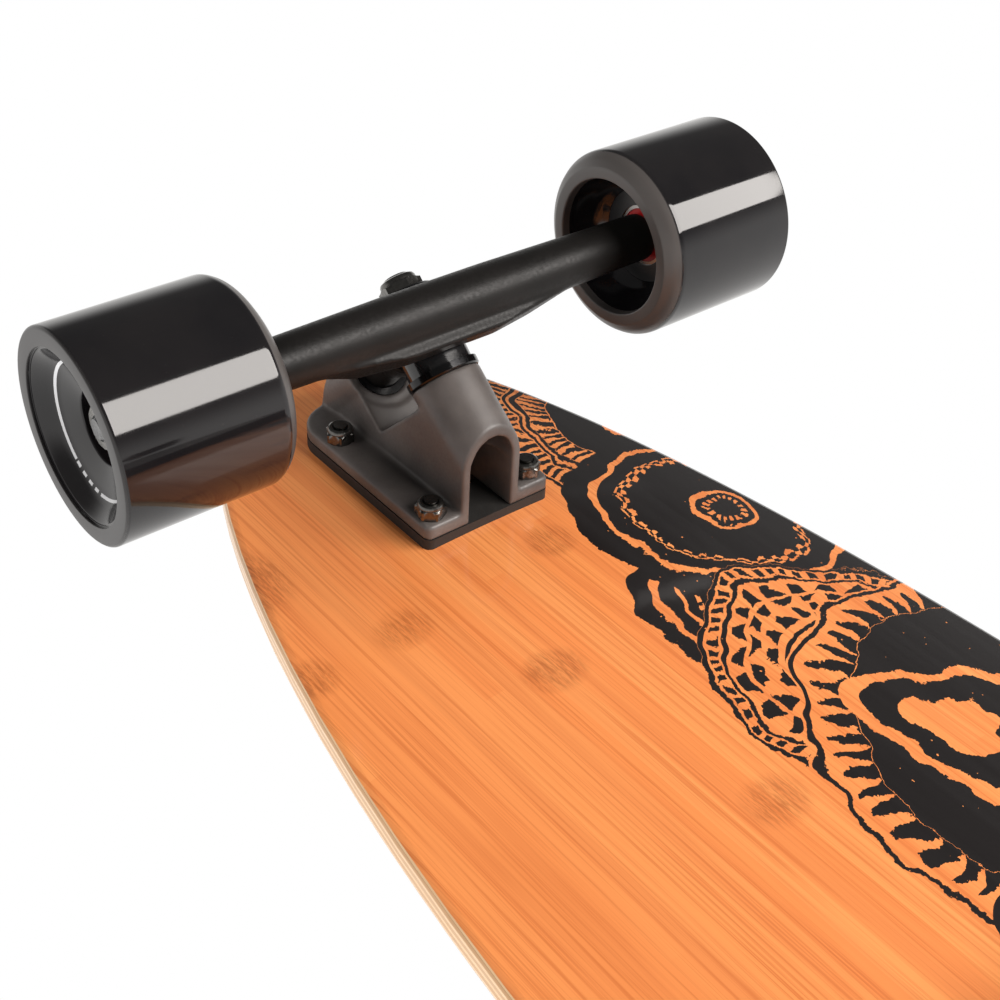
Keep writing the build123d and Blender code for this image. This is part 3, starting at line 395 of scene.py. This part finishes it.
def bambooFinish():
    finish, tree, bsdf = newMaterial("bambooFace")
    place = placeOf(tree)
    x, y, z = parts3(tree, place)
    row = calc(tree, "FLOOR", calc(tree, "DIVIDE", y, deckLook["strip"]))
    dice = tree.nodes.new("ShaderNodeTexWhiteNoise")
    dice.noise_dimensions = "1D"
    plug(tree, dice.inputs["W"], row)
    shift = dice.outputs["Value"]
    stretch = calc(tree, "FLOOR", plus(tree, calc(tree, "DIVIDE", x, deckLook["length"]), times(tree, shift, 7.0)))
    dice2 = tree.nodes.new("ShaderNodeTexWhiteNoise")
    dice2.noise_dimensions = "2D"
    plug(tree, dice2.inputs["Vector"], joined(tree, row, stretch, 0.0))
    stripTone = dice2.outputs["Value"]
    fibre = noiseOf(tree, joined(tree, times(tree, x, 9.0), times(tree, y, deckLook["fibre"]), shift), 1.0, 4.0, 0.62)
    streak = noiseOf(tree, joined(tree, times(tree, x, 3.0), times(tree, y, 150.0), 3.0), 1.0, 3.0, 0.6)
    cloud = noiseOf(tree, joined(tree, times(tree, x, 5.0), times(tree, y, 16.0), 7.0), 1.0, 3.0)
    colour = blendColour(tree, spread(tree, stripTone, 0.0, 1.0), rgb(*deckLook["pale"]), rgb(*deckLook["mid"]))
    colour = blendColour(tree, times(tree, spread(tree, streak, 0.45, 0.7), 0.32), colour, rgb(*deckLook["deep"]))
    colour = blendColour(tree, times(tree, spread(tree, fibre, 0.46, 0.66), 0.6), colour, rgb(*deckLook["deep"]))
    threads = noiseOf(tree, joined(tree, times(tree, x, 16.0), times(tree, y, 1900.0), 1.0), 1.0, 2.0, 0.5)
    colour = blendColour(tree, times(tree, spread(tree, threads, 0.55, 0.75), 0.4), colour, rgb(*deckLook["deep"]))
    colour = blendColour(tree, times(tree, spread(tree, cloud, 0.55, 0.75), 0.3), colour, rgb(*deckLook["deep"]))
    # joints of the cane: an oval of short dark marks, broken up by the fibres
    marks = None
    for cx, cy, rx, ry in deckLook["joints"]:
        across = calc(tree, "DIVIDE", minus(tree, y, cy), ry)
        along = calc(tree, "DIVIDE", minus(tree, x, cx), rx)
        far = plus(tree, times(tree, across, across), times(tree, along, along))
        spot = spread(tree, plus(tree, far, times(tree, minus(tree, cloud, 0.5), 2.2)), 1.5, -0.1)
        marks = spot if marks is None else calc(tree, "MAXIMUM", marks, spot)
    flecks = noiseOf(tree, joined(tree, times(tree, x, 130.0), times(tree, y, 1300.0), 0.0), 1.0, 3.0, 0.7)
    marks = times(tree, marks, spread(tree, flecks, 0.38, 0.64, 0.1, 0.6))
    colour = blendColour(tree, marks, colour, rgb(*deckLook["joint"]))
    # the print: motifs laid over each other in order, wavering like cut paper
    warp = noiseOf(tree, place, 30.0, 2.0)
    warp2 = noiseOf(tree, joined(tree, plus(tree, x, 5.0), y, z), 34.0, 2.0)
    ragged = noiseOf(tree, place, 230.0, 3.0, 0.75)
    wobble = times(tree, minus(tree, ragged, 0.5), 0.0042)
    wx = plus(tree, plus(tree, x, times(tree, minus(tree, warp, 0.5), 0.022)), wobble)
    wy = plus(tree, plus(tree, y, times(tree, minus(tree, warp2, 0.5), 0.022)), wobble)
    taper = calc(tree, "MAXIMUM", times(tree, minus(tree, 0.13, wx), 0.55), 0.0)
    stripEdge = plus(tree, taper, printLook["strip"])
    ink = times(tree, calc(tree, "GREATER_THAN", wy, stripEdge), calc(tree, "LESS_THAN", wx, 0.34))
    for cx, cy, reach, tone, bands in printLook["motifs"]:
        dx = minus(tree, wx, cx)
        dy = minus(tree, wy, cy)
        r = radiusOf(tree, dx, dy)
        turned = calc(tree, "ARCTAN2", dy, dx)
        own = float(tone)
        for middle, half, teeth, taper in bands:
            band = calc(tree, "COMPARE", r, middle, half)
            if teeth:     # a tooth narrows across the band where taper isn't 0
                across = calc(tree, "DIVIDE", minus(tree, r, middle), half)
                edge = calc(tree, "MULTIPLY_ADD", across, taper * 0.75, -0.1)
                beat = calc(tree, "SINE", times(tree, turned, float(teeth)))
                band = times(tree, band, calc(tree, "GREATER_THAN", beat, edge))
            own = calc(tree, "ABSOLUTE", minus(tree, own, band))
        inside = calc(tree, "LESS_THAN", r, reach)
        ink = plus(tree, times(tree, ink, minus(tree, 1.0, inside)), times(tree, own, inside))
    # a three-cornered loop cut out of the last black field: r < size * (1 + a cos 3 angle)
    cx, cy, size, share, corners, phase = printLook["loop"]
    dx = minus(tree, wx, cx)
    dy = minus(tree, wy, cy)
    r = radiusOf(tree, dx, dy)
    wave = calc(tree, "COSINE", calc(tree, "MULTIPLY_ADD", calc(tree, "ARCTAN2", dy, dx), corners, phase))
    level = calc(tree, "DIVIDE", r, calc(tree, "MULTIPLY_ADD", wave, size * share, size))
    loop = plus(tree, calc(tree, "COMPARE", level, 1.0, 0.11), calc(tree, "LESS_THAN", level, 0.48))
    ink = times(tree, ink, calc(tree, "SUBTRACT", 1.0, loop, 0.0, True))
    speck = calc(tree, "GREATER_THAN", noiseOf(tree, place, 520.0, 1.0), 0.22)
    ink = times(tree, ink, speck)
    face = blendColour(tree, ink, colour, rgb(24, 20, 20))
    plug(tree, bsdf.inputs["Base Color"], face)
    plug(tree, bsdf.inputs["Roughness"], spread(tree, streak, 0.3, 0.7, 0.3, 0.42))
    plug(tree, bsdf.inputs["Normal"], bumpOf(tree, fibre, 0.15, 0.00006))
    bsdf.inputs["Coat Weight"].default_value = 0.55
    bsdf.inputs["Coat Roughness"].default_value = 0.09
    return finish


made["bambooFace"] = bambooFinish()

# maple core: plies about the concave's own axis, alternately pale and warm, with dark glue lines
plyLook = {"curve": 0.574, "ply": 0.0013, "pale": (226, 186, 136), "warm": (196, 148, 98), "glue": (120, 82, 50)}


def mapleFinish():
    finish, tree, bsdf = newMaterial("maplePlies")
    place = placeOf(tree)
    x, y, z = parts3(tree, place)
    up = minus(tree, z, underside + plyLook["curve"])
    radius = radiusOf(tree, y, up)
    layers = calc(tree, "DIVIDE", minus(tree, plyLook["curve"], radius), plyLook["ply"])
    part = calc(tree, "FRACT", layers)
    odd = calc(tree, "GREATER_THAN", calc(tree, "FRACT", times(tree, layers, 0.5)), 0.5)
    drawn = joined(tree, times(tree, x, 60.0), times(tree, y, 60.0), times(tree, z, 2600.0))
    grain = noiseOf(tree, drawn, 1.0, 3.0, 0.6)
    colour = blendColour(tree, odd, rgb(*plyLook["pale"]), rgb(*plyLook["warm"]))
    colour = blendColour(tree, times(tree, spread(tree, grain, 0.4, 0.7), 0.35), colour, rgb(*plyLook["warm"]))
    glue = calc(tree, "COMPARE", part, 0.0, 0.07)
    colour = blendColour(tree, times(tree, glue, 0.6), colour, rgb(*plyLook["glue"]))
    plug(tree, bsdf.inputs["Base Color"], colour)
    plug(tree, bsdf.inputs["Roughness"], spread(tree, grain, 0.3, 0.7, 0.28, 0.42))
    plug(tree, bsdf.inputs["Normal"], bumpOf(tree, grain, 0.12, 0.00006))
    bsdf.inputs["Coat Weight"].default_value = 0.5
    bsdf.inputs["Coat Roughness"].default_value = 0.1
    return finish


made["maplePlies"] = mapleFinish()


def gripFinish():
    # mineral grit on black sheet: sharp grains, a few of which glint
    finish, tree, bsdf = newMaterial("gripSheet")
    place = placeOf(tree)
    grains = tree.nodes.new("ShaderNodeTexVoronoi")
    grains.inputs["Scale"].default_value = 1500.0
    plug(tree, grains.inputs["Vector"], place)
    glint = parts3(tree, grains.outputs["Color"])[0]
    wear = noiseOf(tree, place, 14.0, 4.0)
    colour = blendColour(tree, spread(tree, wear, 0.35, 0.7), rgb(30, 30, 31), rgb(44, 43, 42))
    colour = blendColour(tree, times(tree, calc(tree, "GREATER_THAN", glint, 0.93), 0.5), colour, rgb(120, 118, 114))
    plug(tree, bsdf.inputs["Base Color"], colour)
    plug(tree, bsdf.inputs["Roughness"], spread(tree, glint, 0.85, 1.0, 0.88, 0.35))
    plug(tree, bsdf.inputs["Normal"], bumpOf(tree, grains.outputs["Distance"], 0.8, 0.0003))
    return finish


made["gripSheet"] = gripFinish()


def boardFinish():
    # green circuit board with lighter traces; taller parts are black packages and a metal block
    finish, tree, bsdf = newMaterial("circuitBoard")
    place = placeOf(tree)
    z = parts3(tree, place)[2]
    traces = tree.nodes.new("ShaderNodeTexBrick")
    plug(tree, traces.inputs["Vector"], place)
    traces.inputs["Scale"].default_value = 160.0
    traces.inputs["Color1"].default_value = rgb(22, 84, 50)
    traces.inputs["Color2"].default_value = rgb(28, 98, 58)
    traces.inputs["Mortar"].default_value = rgb(66, 140, 88)
    traces.inputs["Mortar Size"].default_value = 0.05
    high = calc(tree, "GREATER_THAN", z, float(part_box("battery_management_board")[0][2]) + 0.0048)
    chip = blendColour(tree, noiseOf(tree, place, 900), rgb(26, 26, 28), rgb(48, 48, 50))
    plug(tree, bsdf.inputs["Base Color"], blendColour(tree, high, traces.outputs["Color"], chip))
    plug(tree, bsdf.inputs["Roughness"], spread(tree, noiseOf(tree, place, 300), 0.3, 0.7, 0.3, 0.5))
    return finish


made["circuitBoard"] = boardFinish()


def cellFinish():
    # shrink-wrapped cells: teal sleeve with faint wrinkles, and bare steel at each end
    finish, tree, bsdf = newMaterial("cellWrap")
    place = placeOf(tree)
    x, y, z = parts3(tree, place)
    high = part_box("battery_cells")[1]
    reach = calc(tree, "ABSOLUTE", y)
    bare = calc(tree, "MAXIMUM", calc(tree, "GREATER_THAN", reach, float(high[1]) - 0.0012),
                calc(tree, "LESS_THAN", reach, 0.0018))
    wrinkle = noiseOf(tree, joined(tree, times(tree, x, 40.0), times(tree, y, 400.0), z), 1.0, 3.0)
    sleeve = blendColour(tree, wrinkle, rgb(26, 96, 112), rgb(18, 72, 88))
    steel = blendColour(tree, noiseOf(tree, place, 1200), rgb(190, 190, 190), rgb(150, 150, 152))
    plug(tree, bsdf.inputs["Base Color"], blendColour(tree, bare, sleeve, steel))
    plug(tree, bsdf.inputs["Metallic"], bare)
    plug(tree, bsdf.inputs["Roughness"], spread(tree, wrinkle, 0.3, 0.7, 0.24, 0.36))
    plug(tree, bsdf.inputs["Normal"], bumpOf(tree, wrinkle, 0.2, 0.0001))
    return finish


made["cellWrap"] = cellFinish()

slotFinish = {
    "maple_plies": "maplePlies", "bamboo_face": "bambooFace", "grip_sheet": "gripSheet", "black_rubber": "rubberPad",
    "cast_metal": "castAlloy", "bushing_urethane": "bushingUrethane", "cup_urethane": "cupUrethane",
    "plated_steel": "platedSteel", "black_steel": "blackSteel", "axle_steel": "axleSteel",
    "tread_urethane": "rearTread",
    "core_plastic": "corePlastic", "bearing_steel": "frontBearing", "motor_housing": "motorHousing",
    "magnet_nickel": "magnetNickel", "stator_steel": "statorSteel", "copper_wire": "copperWire",
    "enclosure_plastic": "caseShell", "gasket_foam": "gasketFoam", "cell_wrap": "cellWrap",
    "tray_plastic": "trayPlastic",
    "circuit_board": "circuitBoard", "heatsink": "heatsinkAlloy", "socket_plastic": "socketPlastic",
    "button_metal": "buttonMetal", "gland_plastic": "glandPlastic",
}
nodeFinish = {"cup_washers": "blackSteel", "mounting_bolts": "nutSteel", "kingpins": "nutSteel"}
dressed = 0
for name in frame["nodes"]:
    piece = bpy.data.objects[name]
    for holder in piece.material_slots:
        wanted = holder.material.name.split(".")[0] if holder.material else ""
        finish = nodeFinish.get(name) or slotFinish.get(wanted, "corePlastic")
        if finish == "frontBearing" and name.startswith("rear"):
            finish = "rearBearing"
        holder.material = made[finish]
        dressed += 1
print("materials ready:", len(made), "on", dressed, "slots")


# mesh helpers
def bodyOf(node):
    return next(body for body, names in frame["record"]["behaviour"]["bodies"].items() if node in names)


def meshFrom(name, points, faces, material, smooth=True):
    mesh = bpy.data.meshes.new(name)
    mesh.vertices.add(len(points))
    mesh.vertices.foreach_set("co", points.astype(np.float32).ravel())
    mesh.loops.add(faces.size)
    mesh.loops.foreach_set("vertex_index", faces.astype(np.int32).ravel())
    mesh.polygons.add(len(faces))
    mesh.polygons.foreach_set("loop_start", np.arange(len(faces), dtype=np.int32) * 4)
    mesh.polygons.foreach_set("loop_total", np.full(len(faces), 4, dtype=np.int32))
    mesh.update(calc_edges=True)
    mesh.validate()
    work = bmesh.new()
    work.from_mesh(mesh)
    bmesh.ops.remove_doubles(work, verts=work.verts, dist=1e-7)
    bmesh.ops.dissolve_degenerate(work, edges=work.edges, dist=1e-8)
    bmesh.ops.recalc_face_normals(work, faces=work.faces)
    work.to_mesh(mesh)
    work.free()
    mesh.materials.append(material)
    mesh.polygons.foreach_set("use_smooth", np.full(len(mesh.polygons), smooth))
    mesh.set_sharp_from_angle(angle=math.radians(34))
    thing = bpy.data.objects.new(name, mesh)
    bpy.context.scene.collection.objects.link(thing)
    return thing


def gridFaces(rows, columns, start=0):
    # quads of a grid that is closed in both directions
    i, j = np.meshgrid(np.arange(rows), np.arange(columns), indexing="ij")
    a = start + i * columns + j
    b = start + i * columns + (j + 1) % columns
    c = start + ((i + 1) % rows) * columns + (j + 1) % columns
    d = start + ((i + 1) % rows) * columns + j
    return np.stack([a, b, c, d], axis=-1).reshape(-1, 4)


def roundedProfile(corners, steps=5):
    # corners are (radius, height, rounding); each one with a rounding becomes an arc drawn as a quadratic curve
    corners = np.array(corners, dtype=float)
    places = corners[:, :2]
    before = np.roll(places, 1, axis=0) - places
    after = np.roll(places, -1, axis=0) - places
    lb = np.linalg.norm(before, axis=1, keepdims=True)
    la = np.linalg.norm(after, axis=1, keepdims=True)
    cut = np.minimum(corners[:, 2:3], 0.45 * np.minimum(lb, la))
    p0 = places + before / lb * cut
    p2 = places + after / la * cut
    t = np.linspace(0, 1, steps)[None, :, None]
    arcs = (1 - t) ** 2 * p0[:, None] + 2 * t * (1 - t) * places[:, None] + t ** 2 * p2[:, None]
    return arcs.reshape(-1, 2)


def latheRings(profile, segments, axle, side):
    # point = axle + (r cos a, side * h, r sin a) for each profile point (r, h) and each angle a
    a = np.linspace(0, 2 * math.pi, segments, endpoint=False)
    r, h = profile[:, 0][:, None], profile[:, 1][:, None]
    x = axle[0] + r * np.cos(a)
    z = axle[2] + r * np.sin(a)
    y = side * np.broadcast_to(h, x.shape)
    return np.stack([x, y, z], axis=-1).reshape(-1, 3)


# front wheels
wheelShape = {"bevel": 0.0050, "lip": 0.0054, "groove": 0.0008, "grooveDepth": 0.0012, "core": 0.0170,
              "bowl": 0.0245, "bowlDepth": 0.01615, "coreDepth": 0.01615, "turn": (0.0215, 0.0064),
              "mouth": (0.0116, 0.0093), "shoulder": 0.0019, "edge": 0.0008, "bowlStep": (0.0205, 0.0134),
              "bowlRim": (0.0009, 0.0068), "corner": 6, "segments": 224}


def frontTread(node, side):
    # a dished section with a grooved lip, turned about the axle: x = r cos a, z = r sin a
    s = wheelShape
    inner, outer = float(treadLow[1]), float(treadHigh[1])
    lip = wheelRadius - s["edge"] - s["lip"]
    profile = roundedProfile([
        (s["bowl"], inner, 0.0006), (wheelRadius - s["bevel"], inner, 0.0005),
        (wheelRadius - s["shoulder"], inner + s["shoulder"], 0.0014), (wheelRadius, inner + s["bevel"], 0.0012),
        (wheelRadius, outer - s["edge"], 0.0004), (wheelRadius - s["edge"], outer, 0.0004),
        (lip, outer, 0.0003), (lip, outer - s["grooveDepth"], 0.0002),
        (lip - s["groove"], outer - s["grooveDepth"], 0.0002),
        (lip - s["groove"] - 0.0010, outer - 0.0022, 0.0008), (s["turn"][0], outer - s["turn"][1], 0.0040),
        (s["mouth"][0], outer - s["mouth"][1], 0.0006), (s["mouth"][0], outer - s["coreDepth"], 0.0002),
        (s["core"], outer - s["coreDepth"], 0.0002),
        (s["core"], inner + s["bowlDepth"], 0.0003), (s["bowlStep"][0], inner + s["bowlStep"][1], 0.0030),
        (s["bowl"] - s["bowlRim"][0], inner + s["bowlRim"][1], 0.0030),
    ], s["corner"])
    points = latheRings(profile, s["segments"], frontAxle, side)
    thing = meshFrom(node + "_turned", points, gridFaces(len(profile), s["segments"]), made["frontTread"])
    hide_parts(node)
    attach(thing, bodyOf(node))


frontTread("front_left_tyre", 1)
frontTread("front_right_tyre", -1)
print("front wheels turned")

# rear hub-motor sleeves
sleeveShape = {"bevel": 0.0050, "shoulder": 0.0019, "edge": 0.0008, "corner": 6, "segments": 192}


def rearSleeve(node, side):
    # a flat-faced section with bevelled edges, turned about the axle: x = r cos a, z = r sin a
    s = sleeveShape
    low, high = [np.array(v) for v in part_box(node)]
    inner, outer = sorted(abs(v) for v in (low[1], high[1]))
    bore = float(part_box(node.replace("tyre", "rotor"))[1][2] - rearAxle[2])
    radius = float(rearAxle[2])
    profile = roundedProfile([
        (bore, inner, 0.0006), (radius - s["bevel"], inner, 0.0012),
        (radius - s["shoulder"], inner + s["shoulder"], 0.0014), (radius, inner + s["bevel"], 0.0012),
        (radius, outer - s["edge"], 0.0004), (radius - s["edge"], outer, 0.0004),
        (bore, outer, 0.0006),
    ], s["corner"])
    points = latheRings(profile, s["segments"], rearAxle, side)
    thing = meshFrom(node + "_turned", points, gridFaces(len(profile), s["segments"]), made["rearTread"])
    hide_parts(node)
    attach(thing, bodyOf(node))


rearSleeve("rear_left_tyre", 1)
rearSleeve("rear_right_tyre", -1)
print("rear sleeves turned")

# castings: the CAD surface rebuilt on a fine even mesh, then relaxed so its edges round over as cast metal does
castShape = {"weld": 2e-6, "voxel": 0.00064, "hangerRelax": 26, "plateRelax": 9, "share": 0.5}


def casting(node):
    # each point moves by share of the way to its neighbours' mean, relax times over
    source = bpy.data.objects[node]
    mesh = source.data.copy()
    thing = bpy.data.objects.new(node + "_cast", mesh)
    bpy.context.scene.collection.objects.link(thing)
    work = bmesh.new()
    work.from_mesh(mesh)
    bmesh.ops.remove_doubles(work, verts=work.verts, dist=castShape["weld"])
    work.to_mesh(mesh)
    work.free()
    even = thing.modifiers.new("even", "REMESH")
    even.mode = "VOXEL"
    even.voxel_size = castShape["voxel"]
    even.use_smooth_shade = True
    relax = thing.modifiers.new("relax", "SMOOTH")
    relax.iterations = castShape["hangerRelax" if "hanger" in node else "plateRelax"]
    relax.factor = castShape["share"]
    bpy.context.view_layer.update()
    graph = bpy.context.evaluated_depsgraph_get()
    result = bpy.data.meshes.new_from_object(thing.evaluated_get(graph), depsgraph=graph)
    thing.modifiers.clear()
    thing.data = result
    result.name = node + "_cast"
    result.materials.clear()
    # hangers take the darker painted-shade copy of the cast metal, plates the paler painted-light copy
    result.materials.append(made["hangerAlloyPaintedShade" if "hanger" in node else "castAlloy"])
    result.polygons.foreach_set("use_smooth", np.ones(len(result.polygons), dtype=bool))
    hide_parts(node)
    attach(thing, bodyOf(node))
    return len(result.polygons)


for node in ("front_hanger", "rear_hanger", "front_baseplate", "rear_baseplate"):
    print(node, "cast with", casting(node), "faces")

# nuts: a hexagon whose corners are turned down, with a rounded collar above
nutShape = {"flats": 0.0095, "height": 0.0056, "collar": 0.0016, "bolt": 0.0024, "turn": 0.35,
            "turnStep": 0.7, "segments": 72}


def nutPoints(flats, height, bore, collar, segments, place, axis, spin=0.0):
    # r(a, h) = smaller of the hexagon's radius at angle a and the turned cone or collar's radius at height h
    a = np.linspace(0, 2 * math.pi, segments, endpoint=False) + spin
    hexRadius = flats / 2 / np.cos((a - spin + math.pi / 6) % (math.pi / 3) - math.pi / 6)
    corner = flats / 2 / math.cos(math.pi / 6)
    body = height - collar
    levels = np.array([
        (0.0, flats * 0.47), (0.0, flats * 0.5), (height * 0.08, corner + 1e-4), (body * 0.88, corner + 1e-4),
        (body, flats * 0.5), (body + collar * 0.06, flats * 0.482), (body + collar * 0.5, flats * 0.475),
        (body + collar * 0.82, flats * 0.445), (height, flats * 0.385), (height - collar * 0.1, bore * 1.16),
        (height - collar * 0.5, bore * 1.02), (height - collar * 0.5, bore * 0.97), (0.0, bore * 0.97)])
    r = np.minimum(hexRadius[None, :], levels[:, 1][:, None])
    axis = np.array(axis) / np.linalg.norm(axis)
    u = np.cross(axis, (0.0, 1.0, 0.0) if abs(axis[1]) < 0.9 else (1.0, 0.0, 0.0))
    u /= np.linalg.norm(u)
    v = np.cross(axis, u)
    ring = np.cos(a)[None, :, None] * u + np.sin(a)[None, :, None] * v
    return (np.array(place) + r[..., None] * ring + levels[:, 0][:, None, None] * axis).reshape(-1, 3), len(levels)


def nutSet(name, node, spots, bore, collar, material):
    # spots are (place of the seat, axis away from it, turn about it, width over flats, height)
    clouds, faces, count = [], [], 0
    for place, axis, spin, flats, height in spots:
        cloud, rows = nutPoints(flats, height, bore, collar, nutShape["segments"], place, axis, spin)
        clouds.append(cloud)
        faces.append(gridFaces(rows, nutShape["segments"], count))
        count += len(cloud)
    thing = meshFrom(name, np.concatenate(clouds), np.concatenate(faces), made[material])
    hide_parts(node)
    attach(thing, bodyOf(node))


nutTop = float(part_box("mounting_nuts")[1][2])
boltSpots = {"pattern": (0.05398, 0.04128), "truck": 0.38}
holes = [(side * boltSpots["truck"] + dx * boltSpots["pattern"][0] / 2, dy * boltSpots["pattern"][1] / 2)
         for side in (1, -1) for dx in (1, -1) for dy in (1, -1)]
nutSet("mountingNuts", "mounting_nuts",
       [((x, y, nutTop), (0, 0, -1), nutShape["turn"] + nutShape["turnStep"] * i, nutShape["flats"],
         nutShape["height"])
        for i, (x, y) in enumerate(holes)],
       nutShape["bolt"], nutShape["collar"], "nutSteel")

pinShape = {"lean": (0.748, 0.664), "flats": 0.0136, "bore": 0.0046, "collar": 0.0022, "turn": 0.4}


def cloudOf(node):
    flat = np.empty(len(bpy.data.objects[node].data.vertices) * 3, dtype=np.float32)
    bpy.data.objects[node].data.vertices.foreach_get("co", flat)
    return flat.reshape(-1, 3).astype(float)


pinNuts = []
for side in (1, -1):     # each nut's seat and reach along its pin are read off the frame's own nut
    own = cloudOf("kingpin_nuts")
    own = own[own[:, 0] * side > 0]
    axis = np.array([side * pinShape["lean"][0], 0.0, -pinShape["lean"][1]])
    along = own @ axis
    middle = (own.max(0) + own.min(0)) / 2
    reach = along.max() - along.min()
    pinNuts.append((middle + axis * (along.min() - middle @ axis), axis, pinShape["turn"], pinShape["flats"], reach))
    print("kingpin nut at", np.round(middle, 4), "height", round(float(reach), 5))
nutSet("kingpinNuts", "kingpin_nuts", pinNuts, pinShape["bore"], pinShape["collar"], "nutSteel")
print("nuts made")

# floor: pale from above, clear from below
floorLook = {"size": 40.0, "colour": (0.9, 0.9, 0.89, 1), "rough": 0.9}
half = floorLook["size"] / 2
floor = meshFrom("studioFloor", np.array([(-half, -half, 0), (half, -half, 0), (half, half, 0), (-half, half, 0)]),
                 np.array([[0, 1, 2, 3]]), bpy.data.materials.new("floorPaper"), False)
paper = floor.data.materials[0]
paper.use_nodes = True
tree = paper.node_tree
bsdf = tree.nodes["Principled BSDF"]
bsdf.inputs["Base Color"].default_value = floorLook["colour"]
bsdf.inputs["Roughness"].default_value = floorLook["rough"]
clear = tree.nodes.new("ShaderNodeBsdfTransparent")
facing = tree.nodes.new("ShaderNodeNewGeometry")
pick = tree.nodes.new("ShaderNodeMixShader")
tree.links.new(facing.outputs["Backfacing"], pick.inputs["Fac"])
tree.links.new(bsdf.outputs["BSDF"], pick.inputs[1])
tree.links.new(clear.outputs["BSDF"], pick.inputs[2])
tree.links.new(pick.outputs["Shader"], tree.nodes["Material Output"].inputs["Surface"])
if floor.data.polygons[0].normal.z < 0:
    floor.data.flip_normals()
floor.visible_shadow = floor.visible_glossy = floor.visible_diffuse = floor.visible_transmission = False
